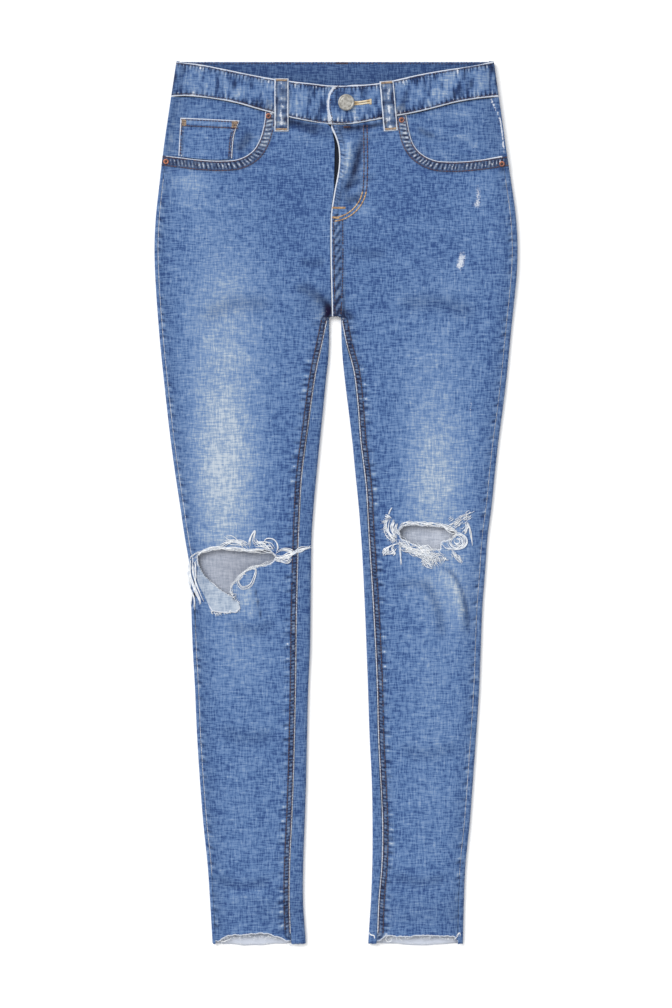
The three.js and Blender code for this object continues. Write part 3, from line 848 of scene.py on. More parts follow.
@dataclass
class Panel:
    """Flat-laid piece of cloth: a closed wall over an outline, following a height field.

    Attributes:
        name: The piece's name.
        loops: Outline and holes in plan.
        face: Height of the face that is turned up, or down when face_down.
        looks: Materials of the outer face, the inner face and the cut edge.
        paint: Fade, wear and shade from X, Y and the distance to the edge.
        wall: Thickness of the cloth.
        spacing: Spacing of the inner points.
        dense: Lines beside which the points are twice as close, with the reach.
        face_down: Whether the outer face is turned down.
        jag: Largest sideways step of a torn or raw edge, where ragged says so.
        ragged: Which edge points are torn or raw.
        seed: Source of the unevenness.
        rings: Distances from the edge of the rows of points beside it.
        round_at: Distance over which both faces curve in to the edge.
    """

    name: str
    loops: list[Array]
    face: Field
    looks: Sequence[Material]
    paint: PaintField
    wall: float = DENIM
    spacing: float = 2.4
    dense: Sequence[tuple[Line, float]] = ()
    face_down: bool = False
    jag: float = 0.0
    ragged: Field | None = None
    seed: int = 1
    rings: tuple[float, ...] = (0.4, 0.9, 1.6)
    round_at: float = 0.9
    EDGE_STEP: ClassVar[float] = 1.3

    def build(self) -> Object:
        """Triangulates the outline, lifts it and closes the wall."""
        rng = np.random.default_rng(self.seed)
        loops = [self._ragged_loop(rounded_loop(loop, self.EDGE_STEP), rng) for loop in self.loops]
        edge = np.vstack(loops)
        middle = np.vstack([(loop + np.roll(loop, -1, axis=0)) / 2 for loop in loops])
        tree = KDTree(len(edge) * 2)
        for i, (x, y) in enumerate(np.vstack([edge, middle])):
            tree.insert((x, y, 0), i)
        tree.balance()

        def to_edge(points: Array) -> Array:
            """Distance of each point to the edge."""
            return np.array([tree.find((x, y, 0))[2] for x, y in points]) if len(points) else np.zeros(0)

        inner = self._rings(loops, to_edge)
        grid = self._grid(loops, rng)
        inner.append(grid[to_edge(grid) > self.rings[-1] + 0.5])
        flat, faces = self._triangles(np.vstack([edge, *inner]), loops)
        return self._close(flat, faces, to_edge(flat))

    def _rings(self, loops: Sequence[Array], to_edge: Callable[[Array], Array]) -> list[Array]:
        """Rows of points beside every edge, so that its rounding is even.

        Args:
            loops: Outline and holes.
            to_edge: Distance of points to the edge.

        Returns:
            One array of points for each row.
        """
        made = []
        for k, loop in enumerate(loops):
            inward = leftward(round_ways(loop)) * (1 if k == 0 else -1)
            for depth in self.rings:
                ring = loop + depth * inward
                clear = to_edge(ring) > depth * 0.86
                made.append(ring[clear & inside_loops(ring[:, 0], ring[:, 1], loops)])
        return made

    def _grid(self, loops: Sequence[Array], rng: np.random.Generator) -> Array:
        """Uneven grid of points inside the outline, closer beside the dense lines.

        Args:
            loops: Outline and holes.
            rng: Source of the unevenness.

        Returns:
            Points, shape (n, 2).
        """
        grid = grid_over(loops[0].min(axis=0), loops[0].max(axis=0), self.spacing)
        grid += rng.uniform(-0.12, 0.12, grid.shape) * self.spacing
        fine = self.spacing / 2
        for line, reach in self.dense:
            near = line.nearest(grid[:, 0], grid[:, 1], reach + 1)[0]
            grid = grid[near > reach]
            close = grid_over(line.points.min(axis=0) - reach, line.points.max(axis=0) + reach, fine)
            close = close[line.nearest(close[:, 0], close[:, 1], reach + 1)[0] <= reach]
            grid = np.vstack([grid, close + rng.uniform(-0.08, 0.08, close.shape) * fine])
        return grid[inside_loops(grid[:, 0], grid[:, 1], loops)]

    @staticmethod
    def _triangles(points: Array, loops: Sequence[Array]) -> tuple[Array, Array]:
        """Points and triangles between the outline and its holes; the loops' points come first.

        Args:
            points: Points in plan, those of the loops first.
            loops: Outline and holes.

        Returns:
            Points in use, shape (n, 2), and triangles, shape (m, 3).
        """
        starts = np.cumsum([0, *[len(loop) for loop in loops]])
        rims = [(a + i, a + (i + 1) % (b - a)) for a, b in zip(starts[:-1], starts[1:]) for i in range(b - a)]
        made, _, triangles, *_ = delaunay_2d_cdt([Vector(p) for p in points], rims, [], 0, 1e-7)
        flat = np.array([(p.x, p.y) for p in made])
        faces = np.array([t for t in triangles if len(t) == 3])
        faces = faces[np.abs(double_area(flat, faces)) > 1e-9]
        centre = flat[faces].mean(axis=1)
        on_rim = (faces < starts[-1]).all(axis=1)
        kept = ~on_rim
        kept[on_rim] = inside_loops(centre[on_rim, 0], centre[on_rim, 1], loops)
        used, faces = np.unique(faces[kept], return_inverse=True)
        return flat[used], faces.reshape(-1, 3)

    def _ragged_loop(self, loop: Array, rng: np.random.Generator) -> Array:
        """The loop with its torn or raw stretches made uneven.

        Args:
            loop: Closed loop of points.
            rng: Source of the unevenness.

        Returns:
            The loop, with the same number of points.
        """
        if not self.jag or self.ragged is None:
            return loop
        torn = self.ragged(loop[:, 0], loop[:, 1])
        step = rng.uniform(-1, 1, len(loop))
        step = 0.5 * step + 0.3 * np.roll(step, 1) + 0.3 * np.roll(step, 2)
        return loop + (self.jag * step * torn)[:, None] * leftward(round_ways(loop))

    def _close(self, flat: Array, faces: Array, depth: Array) -> Object:
        """Lifts both faces and joins them round every rim.

        Args:
            flat: Points in plan.
            faces: Triangles between them.
            depth: Distance of each point to the edge.

        Returns:
            The new object.
        """
        faces = np.where((double_area(flat, faces) > 0)[:, None], faces, faces[:, ::-1])
        x, y = flat[:, 0], flat[:, 1]
        bend = 1 - np.clip(depth / self.round_at, 0, 1)
        draw = 0.42 * self.wall * (1 - np.sqrt(np.maximum(1 - bend ** 2, 0)))
        face = self.face(x, y)
        top = face + self.wall - draw if self.face_down else face - draw
        under = face + draw if self.face_down else face - self.wall + draw
        count = len(flat)
        i, j = np.array(open_edges(faces)).T
        wall = quads(i, i + count, j + count, j)
        solid = np.vstack([faces, faces[:, ::-1] + count, wall])
        up, down = (1, 0) if self.face_down else (0, 1)
        look = np.concatenate([np.full(len(faces), up), np.full(len(faces), down), np.full(len(wall), 2)])
        places = np.vstack([columns(x, y, top), columns(x, y, under)])
        paint = self.paint(x, y, depth)
        return build_mesh(self.name, places, solid, self.looks, look, np.vstack([paint, paint]))

    @property
    def cut(self) -> tuple[tuple[float, float], float]:
        """Width and length in metres, and the area that the cut keeps of them, in square metres."""
        size = (self.loops[0].max(axis=0) - self.loops[0].min(axis=0)) * MM
        area = (plan_area(self.loops[0]) - sum(plan_area(hole) for hole in self.loops[1:])) * MM ** 2
        return (float(size[0]), float(size[1])), float(area)


class FoldedPanel:
    """Cloth that runs along the underside and turns up round a side fold to its seam on top."""

    BEND = 8
    LIP = 5
    UNDER = 22

    def __init__(self, name: str, relief: Relief, rows: Sequence[float], settle: Field,
                 ends: Sequence[dict], looks: Sequence[Material], paint: PaintField, under: PaintField,
                 wall: float = DENIM, rise: float = 0.0) -> None:
        """Args:
            name: The piece's name.
            relief: Heights of the layers.
            rows: Falling Y of the rows, before settle.
            settle: Gives a row's own Y at each X.
            ends: Left and right end, each with fold and seam curves, sign, and centre where the part
                above the crotch runs flat to the centre back seam.
            looks: Materials of the outer face, the inner face and the cut edge.
            paint: Fade, wear and shade from X, Y and the distance to the seam.
            under: The same, for the outer face where it looks down.
            wall: Thickness of the cloth.
            rise: Extra height of the fold over that of the panels.
        """
        self.name, self.relief, self.rows, self.settle = name, relief, np.array(rows, float), settle
        self.ends, self.looks, self.wall, self.rise = ends, looks, wall, rise
        self.paint, self.under = paint, under

    def _half(self, end: dict, y: Array, inset: float) -> tuple[Array, Array, Array]:
        """X, Z and upper share of one half's columns, underside to seam.

        Args:
            end: Fold and seam of this half.
            y: Y of its points, a row for each line.
            inset: Depth of the face below the outer one.

        Returns:
            X, Z and upper share, each a row for each line.
        """
        low, high = self.relief.low(y[:, :1]), self.relief.level(y[:, :1]) + self.rise
        radius = (high - low) / 2
        sign = end["sign"]
        count = self.BEND + 1 + self.LIP
        ys = y[:, :count]
        fold, seam = end["fold"](ys), end["seam"](ys)
        centre = fold - sign * radius
        half_turn = np.linspace(-np.pi / 2, np.pi / 2, self.BEND + 1)
        angle = np.concatenate([half_turn, np.zeros(self.LIP)])[None, :]
        lip = np.concatenate([np.zeros(self.BEND + 1), np.linspace(0, 1, self.LIP + 1)[1:]])[None, :]
        on_arc = np.arange(count)[None, :] <= self.BEND
        x = np.where(on_arc, centre + sign * (radius - inset) * np.cos(angle), centre + (seam - centre) * lip)
        z = np.where(on_arc, low + radius + (radius - inset) * np.sin(angle), high - inset)
        up = np.where(on_arc, blend(-0.2, 1, np.sin(angle)), 1) + 0 * ys
        if end.get("centre") is None:
            return x, z, up
        t = np.linspace(0, 1, count)[None, :]
        flat_x = end["centre"] - sign * (15 * (1 - t) + 0.15 * t)
        seat = ys > CROTCH_Y
        return np.where(seat, flat_x, x), np.where(seat, low + inset, z), np.where(seat, 0, up)

    def _face(self, y: Array, inset: float) -> tuple[Array, Array]:
        """X and Z of one face of the wall, left seam to right seam, for Y given per point.

        Args:
            y: Y of the points, a row for each line.
            inset: Depth of the face below the outer one.

        Returns:
            X and Z, each a row for each line.
        """
        count = self.BEND + 1 + self.LIP
        left = self._half(self.ends[0], y[:, :count][:, ::-1], inset)
        left_x, left_z, left_up = (part[:, ::-1] for part in left)
        right_x, right_z, right_up = self._half(self.ends[1], y[:, -count:], inset)
        t = np.linspace(0, 1, self.UNDER + 1)[None, 1:-1]
        under_x = left_x[:, -1:] + (right_x[:, :1] - left_x[:, -1:]) * t
        under_z = np.broadcast_to(self.relief.low(y[:, :1]) + inset, under_x.shape)
        x, z = np.hstack([left_x, under_x, right_x]), np.hstack([left_z, under_z, right_z])
        up = np.hstack([left_up, np.zeros_like(under_x), right_up])
        lift = self.relief.front(x.ravel(), y.ravel()).reshape(x.shape) - self.relief.level(y)
        return x, z + up * lift * (1 if self.wall < BAND else 0)

    def build(self) -> Object:
        """Lofts both faces through the rows and closes the wall at its seams and ends."""
        width = 2 * (self.BEND + 1 + self.LIP) + self.UNDER - 1
        y = np.repeat(self.rows[:, None], width, axis=1)
        x, _ = self._face(y, 0)
        y = self.settle(x, y)
        outer_x, outer_z = self._face(y, 0)
        inner_x, inner_z = self._face(y, self.wall)
        rows, count = len(self.rows), len(self.rows) * width
        index = np.arange(count).reshape(rows, width)
        a, b, c, d = index[:-1, :-1], index[:-1, 1:], index[1:, 1:], index[1:, :-1]
        outer = quads(a, b, c, d)
        inner = quads(a, d, c, b) + count
        top, foot, left, right = index[0], index[-1], index[:, 0], index[:, -1]
        edge = np.vstack([
            quads(top[:-1], top[:-1] + count, top[1:] + count, top[1:]),
            quads(foot[:-1], foot[1:], foot[1:] + count, foot[:-1] + count),
            quads(left[:-1], left[1:], left[1:] + count, left[:-1] + count),
            quads(right[:-1], right[:-1] + count, right[1:] + count, right[1:]),
        ])
        faces = np.vstack([outer, inner, edge])
        look = np.concatenate([np.zeros(len(outer)), np.ones(len(inner)), np.full(len(edge), 2)])
        places = np.vstack([columns(x.ravel(), y.ravel(), z.ravel())
                            for x, z in ((outer_x, outer_z), (inner_x, inner_z))])
        column = np.arange(width)
        steps = np.minimum(column, width - 1 - column)[None, :] * (outer_x[:, 1] - outer_x[:, 0])[:, None]
        at = outer_x.ravel(), y.ravel(), np.abs(steps).ravel()
        shown = self.paint(*at)
        low, high = self.relief.low(at[1]), self.relief.level(at[1]) + self.rise
        over = blend(0.3, 0.7, (outer_z.ravel() - low) / (high - low))[:, None]
        turned_down = over * shown + (1 - over) * self.under(*at)
        run = np.hypot(np.diff(outer_x, axis=1), np.diff(outer_z, axis=1)).sum(axis=1)
        corners = places[outer]
        sides = np.cross(corners[:, 1] - corners[:, 0], corners[:, 2] - corners[:, 0])
        self.width, self.length = float(run.max()), float(y.max() - y.min())
        self.area = float(np.linalg.norm(sides, axis=1).sum() / 2)
        return build_mesh(self.name, places, faces, self.looks, look, np.vstack([turned_down, shown]))

    @property
    def cut(self) -> tuple[tuple[float, float], float]:
        """Width and length in metres, and the area that the cut keeps of them, in square metres."""
        return (self.width * MM, self.length * MM), self.area * MM ** 2


# --- Threads ---


class Yarn:
    """Many threads gathered into one mesh of fine tubes that follow a surface."""

    def __init__(self, name: str, base: Field, look: Material, rng: np.random.Generator,
                 sides: int = 6) -> None:
        """Args:
            name: The piece's name.
            base: Height of the surface that the threads lie on.
            look: Their material.
            rng: Source of their unevenness.
            sides: Sides of each tube.
        """
        self.name, self.base, self.look, self.rng, self.sides = name, base, look, rng, sides
        self.strands: list[tuple[Array, Array, float, float]] = []

    def add(self, points: Array, lift: Array | float, radius: float, taper: float = 0.35) -> None:
        """Adds one thread through points in plan, its middle at a lift above the surface."""
        points = np.asarray(points, float)
        self.strands.append((points, np.broadcast_to(lift, len(points)).astype(float), radius, taper))

    def sew(self, line: Line, stitch: float = 2.7, gap: float = 0.8, radius: float = 0.33,
            skip: float = 0.0) -> None:
        """Runs a row of stitches along a line, leaving out a share of them as worn away.

        Args:
            line: The seam.
            stitch: Length of a stitch.
            gap: Gap between two.
            radius: Radius of the thread.
            skip: Share of the stitches worn away.
        """
        count = max(int(line.length / (stitch + gap)), 1)
        pitch = line.length / count
        for i in range(count):
            if self.rng.random() < skip:
                continue
            run = i * pitch + (pitch - stitch) / 2 + stitch * np.array([0, 0.14, 0.5, 0.86, 1])
            self.add(line.at(run)[0], np.array([-0.25, 0.16, 0.3, 0.16, -0.25]), radius, 0.75)

    def tack(self, start: tuple[float, float], end: tuple[float, float], width: float, count: int = 0,
             lift: float = 0.3) -> None:
        """Bar tack: close stitches laid across the line from start to end.

        Args:
            start: Where it starts.
            end: Where it ends.
            width: Width across that line.
            count: How many stitches, or 0 to follow the length.
            lift: Height above the surface.
        """
        a, b = np.array(start, float), np.array(end, float)
        span = float(np.linalg.norm(b - a))
        way = (b - a) / span
        side = np.array([-way[1], way[0]]) * width / 2
        count = count or max(int(span / 0.62), 2)
        for i in range(count):
            middle = a + way * span * (i + 0.5) / count
            lean = way * 0.25 * (1 if i % 2 else -1)
            points = [middle - side - lean, middle - 0.6 * side, middle + 0.6 * side, middle + side + lean]
            self.add(np.array(points), np.array([lift - 0.5, lift, lift, lift - 0.5]), 0.31, 0.8)

    def fray(self, line: Line, count: int, length: tuple[float, float], hand: int, spread: float, curl: float,
             radius: float, lift: float) -> None:
        """Grows loose ends out of an edge.

        Args:
            line: The edge.
            count: How many threads.
            length: Shortest and longest.
            hand: +1 to grow to the edge's left, -1 to its right.
            spread: Random turn of each thread at its root, in radians.
            curl: Random bending along each thread.
            radius: Radius of a thread.
            lift: Highest rise above the surface.
        """
        rng = self.rng
        roots, way = line.at(rng.uniform(0, line.length, count))
        heading = np.arctan2(way[:, 1], way[:, 0]) + hand * np.pi / 2
        for root, turn in zip(roots, heading):
            size = rng.uniform(*length)
            steps = max(int(size / 0.9), 4)
            angles = turn + rng.normal(0, spread) + np.cumsum(rng.normal(0, curl, steps))
            walk = np.cumsum(columns(np.cos(angles), np.sin(angles)), axis=0) * size / steps
            rooted = root - 0.6 * walk[0] / max(np.linalg.norm(walk[0]), 1e-9)
            points = np.vstack([rooted, root + walk * 0.02, root + walk])
            t = np.linspace(0, 1, len(points))
            self.add(points, 0.12 + lift * np.sin(t * rng.uniform(1.2, 2.8)) * rng.random(), radius)

    def bundle(self, points: Points, count: int, spread: float, radius: float, waves: float = 1.0,
               lift: float = 0.6) -> None:
        """Lays several threads side by side along one path, wandering round each other.

        Args:
            points: Points of the path.
            count: How many threads.
            spread: Width of the bundle.
            radius: Radius of a thread.
            waves: Turns of each thread along the path.
            lift: Height of the turns above the surface.
        """
        rng = self.rng
        path = Line(points, smooth=1.1)
        places, way = path.at(path.run)
        side = leftward(way)
        t = path.run / path.length
        for _ in range(count):
            phase, offset = rng.uniform(0, 2 * np.pi, 2), rng.normal(0, spread / 2)
            sway = offset + spread / 2 * np.sin(2 * np.pi * waves * t + phase[0])
            start, end = rng.uniform(0, 0.12), rng.uniform(0.82, 1)
            kept = (t >= start) & (t <= end)
            height = 0.2 + lift * (0.5 + 0.5 * np.sin(2 * np.pi * waves * t + phase[1]))
            if kept.sum() > 3:
                self.add((places + side * sway[:, None])[kept], height[kept], radius)

    def flip(self) -> None:
        """Turns the lifts over, for a face that looks down."""
        self.strands = [(points, -lift, radius, taper) for points, lift, radius, taper in self.strands]

    def build(self) -> Object:
        """Turns every thread into a tube, all in one mesh."""
        x, y = (np.concatenate([s[0][:, k] for s in self.strands]) for k in (0, 1))
        floor = self.base(x, y)
        angle = np.arange(self.sides) * 2 * np.pi / self.sides
        ring_x, ring_z = np.cos(angle), np.sin(angle)
        places, faces, at, done = [], [], 0, 0
        for points, lift, radius, taper in self.strands:
            count = len(points)
            middle = columns(points, floor[at:at + count] + lift)
            at += count
            way = unit(np.gradient(middle, axis=0))
            side = unit(columns(leftward(way), np.zeros(count)), 1e-6)
            over = np.cross(way, side)
            to_end = np.minimum(np.linspace(0, 1, count), np.linspace(1, 0, count))
            size = radius * np.clip(taper + 4 * (1 - taper) * to_end, 0, 1)
            ring = side[:, None] * ring_x[None, :, None] + over[:, None] * ring_z[None, :, None]
            places.append((middle[:, None] + size[:, None, None] * ring).reshape(-1, 3))
            i = done + np.arange(count - 1)[:, None] * self.sides
            k, after = np.arange(self.sides)[None, :], (np.arange(self.sides)[None, :] + 1) % self.sides
            faces.append(quads(i + k, i + after, i + self.sides + after, i + self.sides + k))
            fan = np.arange(1, self.sides - 1)
            last = done + (count - 1) * self.sides
            faces += [columns(np.full(len(fan), done), done + fan + 1, done + fan),
                      columns(np.full(len(fan), last), last + fan, last + fan + 1)]
            done += count * self.sides
        return build_mesh(self.name, np.vstack(places), np.vstack(faces), [self.look])


# --- Materials ---


EXPOSURE = 1.25  # how far the light over-exposes a white surface


def srgb(red: int, green: int, blue: int) -> tuple[float, float, float, float]:
    """Display colour, 0 to 255, as the linear colour that shows so under the studio's light."""
    return (*(((c / 255 + 0.055) / 1.055) ** 2.4 / EXPOSURE for c in (red, green, blue)), 1.0)


class Graph:
    """Node tree being built, with short calls for its nodes."""

    def __init__(self, tree: NodeTree) -> None:
        """Args:
            tree: A shader node tree.
        """
        self.tree = tree

    def fill(self, node: Node, inputs: dict) -> Node:
        """Links or sets inputs, by name or number.

        Args:
            node: The node.
            inputs: Value or socket for each input.

        Returns:
            The same node.
        """
        for key, value in inputs.items():
            socket = node.inputs[key]
            if isinstance(value, NodeSocket):
                self.tree.links.new(value, socket)
            else:
                socket.default_value = value
        return node

    def node(self, kind: str, inputs: dict | None = None, **settings) -> Node:
        """Adds a node, sets its properties, and fills its inputs.

        Args:
            kind: Type of the node.
            inputs: Value or socket for each input.
            settings: Its own properties.

        Returns:
            The new node.
        """
        node = self.tree.nodes.new(kind)
        for key, value in settings.items():
            setattr(node, key, value)
        return self.fill(node, inputs or {})

    def math(self, operation: str, a: object, b: object = 0.0, clamp: bool = False) -> NodeSocket:
        """Result of one math node."""
        return self.node("ShaderNodeMath", {0: a, 1: b}, operation=operation, use_clamp=clamp).outputs[0]

    def noise(self, vector: object, stretch: tuple[float, float, float], detail: float = 2.0,
              rough: float = 0.5) -> NodeSocket:
        """Noise of about one feature a millimetre, with the coordinates scaled by stretch."""
        scaled = self.node("ShaderNodeVectorMath", {0: vector, 1: stretch}, operation="MULTIPLY").outputs[0]
        return self.node("ShaderNodeTexNoise", {"Vector": scaled, "Scale": 1.0, "Detail": detail,
                                                "Roughness": rough}).outputs[0]

    def remap(self, value: object, low: float, high: float, to_low: float = 0.0,
              to_high: float = 1.0) -> NodeSocket:
        """Value from one range to another, held at the ends."""
        return self.node("ShaderNodeMapRange", {0: value, 1: low, 2: high, 3: to_low, 4: to_high},
                         interpolation_type="SMOOTHSTEP").outputs[0]

    def mix(self, share: object, a: object, b: object, mode: str = "MIX") -> NodeSocket:
        """Mixed colour."""
        return self.node("ShaderNodeMix", {0: share, 6: a, 7: b}, data_type="RGBA", blend_type=mode,
                         clamp_result=False, clamp_factor=False).outputs[2]

    def ramp(self, value: object, stops: Sequence[tuple[float, tuple]]) -> NodeSocket:
        """Colour ramp through (position, linear colour) stops.

        Args:
            value: Position on the ramp.
            stops: Positions with their colours.

        Returns:
            Its colour.
        """
        node = self.node("ShaderNodeValToRGB", {0: value})
        elements = node.color_ramp.elements
        while len(elements) < len(stops):
            elements.new(0.5)
        for element, (place, colour) in zip(elements, stops):
            element.position, element.color = place, colour
        return node.outputs[0]


def new_group(name: str, inputs: Sequence[tuple[str, float]],
              outputs: Sequence[tuple[str, str]]) -> tuple[Graph, Node, Node]:
    """Starts a shader node group with float inputs and the outputs named.

    Args:
        name: The group's name.
        inputs: Labels with their default values.
        outputs: Labels with their socket types.

    Returns:
        The group's graph, its input node and its output node.
    """
    tree = bpy.data.node_groups.new(name, "ShaderNodeTree")
    for label, value in inputs:
        tree.interface.new_socket(label, in_out="INPUT", socket_type="NodeSocketFloat").default_value = value
    for label, kind in outputs:
        tree.interface.new_socket(label, in_out="OUTPUT", socket_type=kind)
    graph = Graph(tree)
    return graph, graph.node("NodeGroupInput"), graph.node("NodeGroupOutput")


def new_look(name: str) -> tuple[Material, Graph]:
    """Starts a material and the graph of its nodes.

    Args:
        name: The material's name.

    Returns:
        The material and its graph.
    """
    look = bpy.data.materials.new(name)
    look.use_nodes = True
    return look, Graph(look.node_tree)


def finished(look: Material, graph: Graph, **inputs: object) -> Material:
    """Fills the shader's inputs, which are named here with _ for a space."""
    named = {key.replace("_", " "): value for key, value in inputs.items()}
    graph.fill(look.node_tree.nodes["Principled BSDF"], named)
    return look


def millimetres(graph: Graph) -> NodeSocket:
    """Object coordinates in millimetres."""
    place = graph.node("ShaderNodeTexCoord").outputs["Object"]
    return graph.node("ShaderNodeVectorMath", {0: place, 3: 1000.0}, operation="SCALE").outputs[0]


def weave_group() -> NodeTree:
    """Slubs that run along and across the twill, blotches, grain, and the weave's own relief."""
    floats = ("Warp", "Weft", "Blotch", "Grain", "Relief")
    graph, _, out = new_group("twill", [], [(label, "NodeSocketFloat") for label in floats])
    place = millimetres(graph)
    lines = []
    for fine, long in (((0.7, 0.11, 0.3), (0.6, 0.06, 0.3)), ((0.11, 0.7, 0.3), (0.06, 0.6, 0.3))):
        even = graph.remap(graph.noise(place, fine, 1.0, 0.5), 0.3, 0.7, -1.0, 1.0)
        slub = graph.remap(graph.noise(place, long, 0.0), 0.62, 0.76)
        lines.append(graph.math("ADD", even, graph.math("MULTIPLY", slub, 0.8)))
    streaks, bars = lines
    blotch = graph.noise(place, (0.04, 0.034, 0.05), 4.0, 0.6)
    grain = graph.noise(place, (0.9, 0.9, 0.9), 1.0, 0.6)
    diagonal = graph.node("ShaderNodeVectorMath", {0: place, 1: (4.6, -4.6, 0.0)},
                          operation="DOT_PRODUCT").outputs["Value"]
    ribs = graph.math("SINE", graph.math("ADD", diagonal, graph.math("MULTIPLY", grain, 2.0)))
    relief = graph.math("ADD", graph.math("MULTIPLY", ribs, 0.1), graph.math("MULTIPLY", grain, 0.4))
    slubs = graph.math("MULTIPLY", graph.math("ADD", streaks, bars), 0.22)
    for label, value in zip(floats, (streaks, bars, blotch, grain, graph.math("ADD", relief, slubs))):
        graph.tree.links.new(value, out.inputs[label])
    return graph.tree


def abrasion_group() -> NodeTree:
    """Uneven mask of how far an amount of wear has broken through."""
    graph, given, out = new_group("abrasion", [("Amount", 0.0)], [("Mask", "NodeSocketFloat")])
    place = millimetres(graph)
    rough = graph.noise(place, (0.55, 0.55, 0.55), 3.0, 0.65)
    spread = graph.math("MULTIPLY", graph.math("SUBTRACT", rough, 0.5), 0.9)
    uneven = graph.math("ADD", given.outputs[0], spread)
    mask = graph.math("MULTIPLY", graph.remap(uneven, 0.3, 0.62), graph.remap(given.outputs[0], 0.02, 0.12))
    graph.tree.links.new(mask, out.inputs[0])
    return graph.tree


@dataclass(frozen=True)
class Denim:
    """Indigo twill that fades, wears white and darkens as its paint says.

    Attributes:
        name: The material's name.
        stops: Colours from unwashed to bleached.
        worn: Colour where the indigo is rubbed off.
        dark: Tint of the painted shade and of the darker cloth.
        slub: How strongly the slubs show.
        lighten: Added to the painted fade.
        relief: Strength of the weave's bump.
    """

    name: str
    stops: tuple[tuple[float, tuple[int, int, int]], ...]
    worn: tuple[int, int, int] = (206, 212, 223)
    dark: tuple[int, int, int] = (118, 112, 128)
    slub: float = 1.0
    lighten: float = 0.0
    relief: float = 0.35

    def make(self, twill: NodeTree, abrasion: NodeTree) -> Material:
        """Builds the material.

        Args:
            twill: Group of the slubs and the weave.
            abrasion: Group of the worn mask.

        Returns:
            The new material.
        """
        look, graph = new_look(self.name)
        paint = graph.node("ShaderNodeVertexColor", layer_name=PAINT).outputs[0]
        parts = graph.node("ShaderNodeSeparateColor", {0: paint}).outputs
        weave = graph.node("ShaderNodeGroup", node_tree=twill).outputs
        value = graph.math("ADD", parts[0], self.lighten)
        for source, middle, share in (("Warp", 0.04, 0.13), ("Weft", 0.04, 0.14), ("Blotch", 0.5, 0.18),
                                      ("Grain", 0.5, 0.4)):
            away = graph.math("SUBTRACT", weave[source], middle)
            value = graph.math("ADD", value, graph.math("MULTIPLY", away, share * self.slub))
        colour = graph.ramp(value, [(place, srgb(*tone)) for place, tone in self.stops])
        # The shade channel, painted shade among it, tints the colour towards dark.
        shade = graph.mix(parts[2], (1, 1, 1, 1), srgb(*self.dark))
        colour = graph.mix(1.0, colour, shade, "MULTIPLY")
        mask = graph.node("ShaderNodeGroup", {0: parts[1]}, node_tree=abrasion).outputs[0]
        colour = graph.mix(mask, colour, srgb(*self.worn))
        bump = graph.node("ShaderNodeBump", {"Strength": self.relief, "Distance": 0.0004,
                                             "Height": weave["Relief"]})
        return finished(look, graph, Base_Color=colour, Normal=bump.outputs[0], Roughness=0.9,
                        Specular_IOR_Level=0.18, Sheen_Weight=0.06)


@dataclass(frozen=True)
class Thread:
    """Cotton thread with a little unevenness along it."""

    name: str
    colour: tuple[int, int, int]
    second: tuple[int, int, int]
    scale: float = 0.35
    lift: float = 1.0

    def make(self) -> Material:
        """Builds the material."""
        look, graph = new_look(self.name)
        uneven = graph.noise(millimetres(graph), (self.scale,) * 3, 2.0, 0.6)
        first, second = ([self.lift * part for part in srgb(*tone)[:3]] + [1]
                         for tone in (self.colour, self.second))
        colour = graph.mix(graph.remap(uneven, 0.38, 0.62), first, second)
        return finished(look, graph, Base_Color=colour, Roughness=0.8, Specular_IOR_Level=0.25)


@dataclass(frozen=True)
class Metal:
    """Aged metal: dull highs, dark where dirt and oxide stay."""

    name: str
    colour: tuple[int, int, int]
    dull: tuple[int, int, int]
    rough: float = 0.45
    metallic: float = 0.75

    def make(self) -> Material:
        """Builds the material."""
        look, graph = new_look(self.name)
        stain = graph.noise(millimetres(graph), (0.3, 0.3, 0.3), 2.0, 0.5)
        colour = graph.mix(graph.remap(stain, 0.4, 0.62), srgb(*self.colour), srgb(*self.dull))
        return finished(look, graph, Base_Color=colour, Metallic=self.metallic, Roughness=self.rough)


INDIGO = ((0.0, (46, 74, 126)), (0.22, (83, 114, 161)), (0.48, (112, 139, 180)), (0.74, (146, 165, 190)),
          (1.0, (186, 197, 209)))
WEFT_SIDE = ((0.0, (92, 104, 136)), (0.3, (128, 138, 164)), (0.6, (164, 172, 188)), (1.0, (202, 208, 221)))
FLAP = ((0.0, (112, 132, 162)), (0.5, (172, 185, 202)), (1.0, (204, 211, 220)))
# Zip tape: near black, a dark tape that also stands for the shade in the fly's gap.
TAPE_IN_SHADE = ((0.0, (22, 26, 38)), (1.0, (40, 46, 62)))


class Looks:
    """Every finish of the garment, made once."""

    def __init__(self) -> None:
        """Builds the shared groups and the materials."""
        twill, abrasion = weave_group(), abrasion_group()
        self.denim = Denim("washed_denim", INDIGO).make(twill, abrasion)
        self.inside = Denim("denim_weft_side", WEFT_SIDE, slub=0.7, lighten=0.3).make(twill, abrasion)
        self.edge = Denim("denim_cut_edge", WEFT_SIDE, slub=0.8, lighten=0.45).make(twill, abrasion)
        self.rust = Thread("thread_rust", (106, 80, 82), (76, 66, 82)).make()
        self.brown = Thread("thread_brown", (92, 74, 78), (66, 58, 74)).make()
        self.gold = Thread("thread_gold", (212, 180, 136), (168, 134, 102)).make()
        self.tan = Thread("thread_tan", (186, 162, 136), (144, 126, 112)).make()
        self.white = Thread("thread_white", (242, 244, 246), (216, 222, 231), 0.3, 1.02).make()
        self.gold_white = Thread("thread_buttonhole", (214, 186, 140), (238, 226, 200), 0.12).make()
        self.pale_denim = Denim("denim_faded_flap", FLAP, slub=1.0, lighten=0.16).make(twill, abrasion)
        self.tape = Denim("zip_tape", TAPE_IN_SHADE, slub=0.4).make(twill, abrasion)
        self.button = Metal("antique_button", (176, 174, 168), (142, 140, 134), 0.5, 0.3).make()
        self.rivet = Metal("aged_copper", (184, 116, 88), (132, 84, 72), 0.45, 0.3).make()
        self.rivet_ring = Metal("rivet_ring", (60, 40, 40), (40, 34, 42), 0.55, 0.2).make()
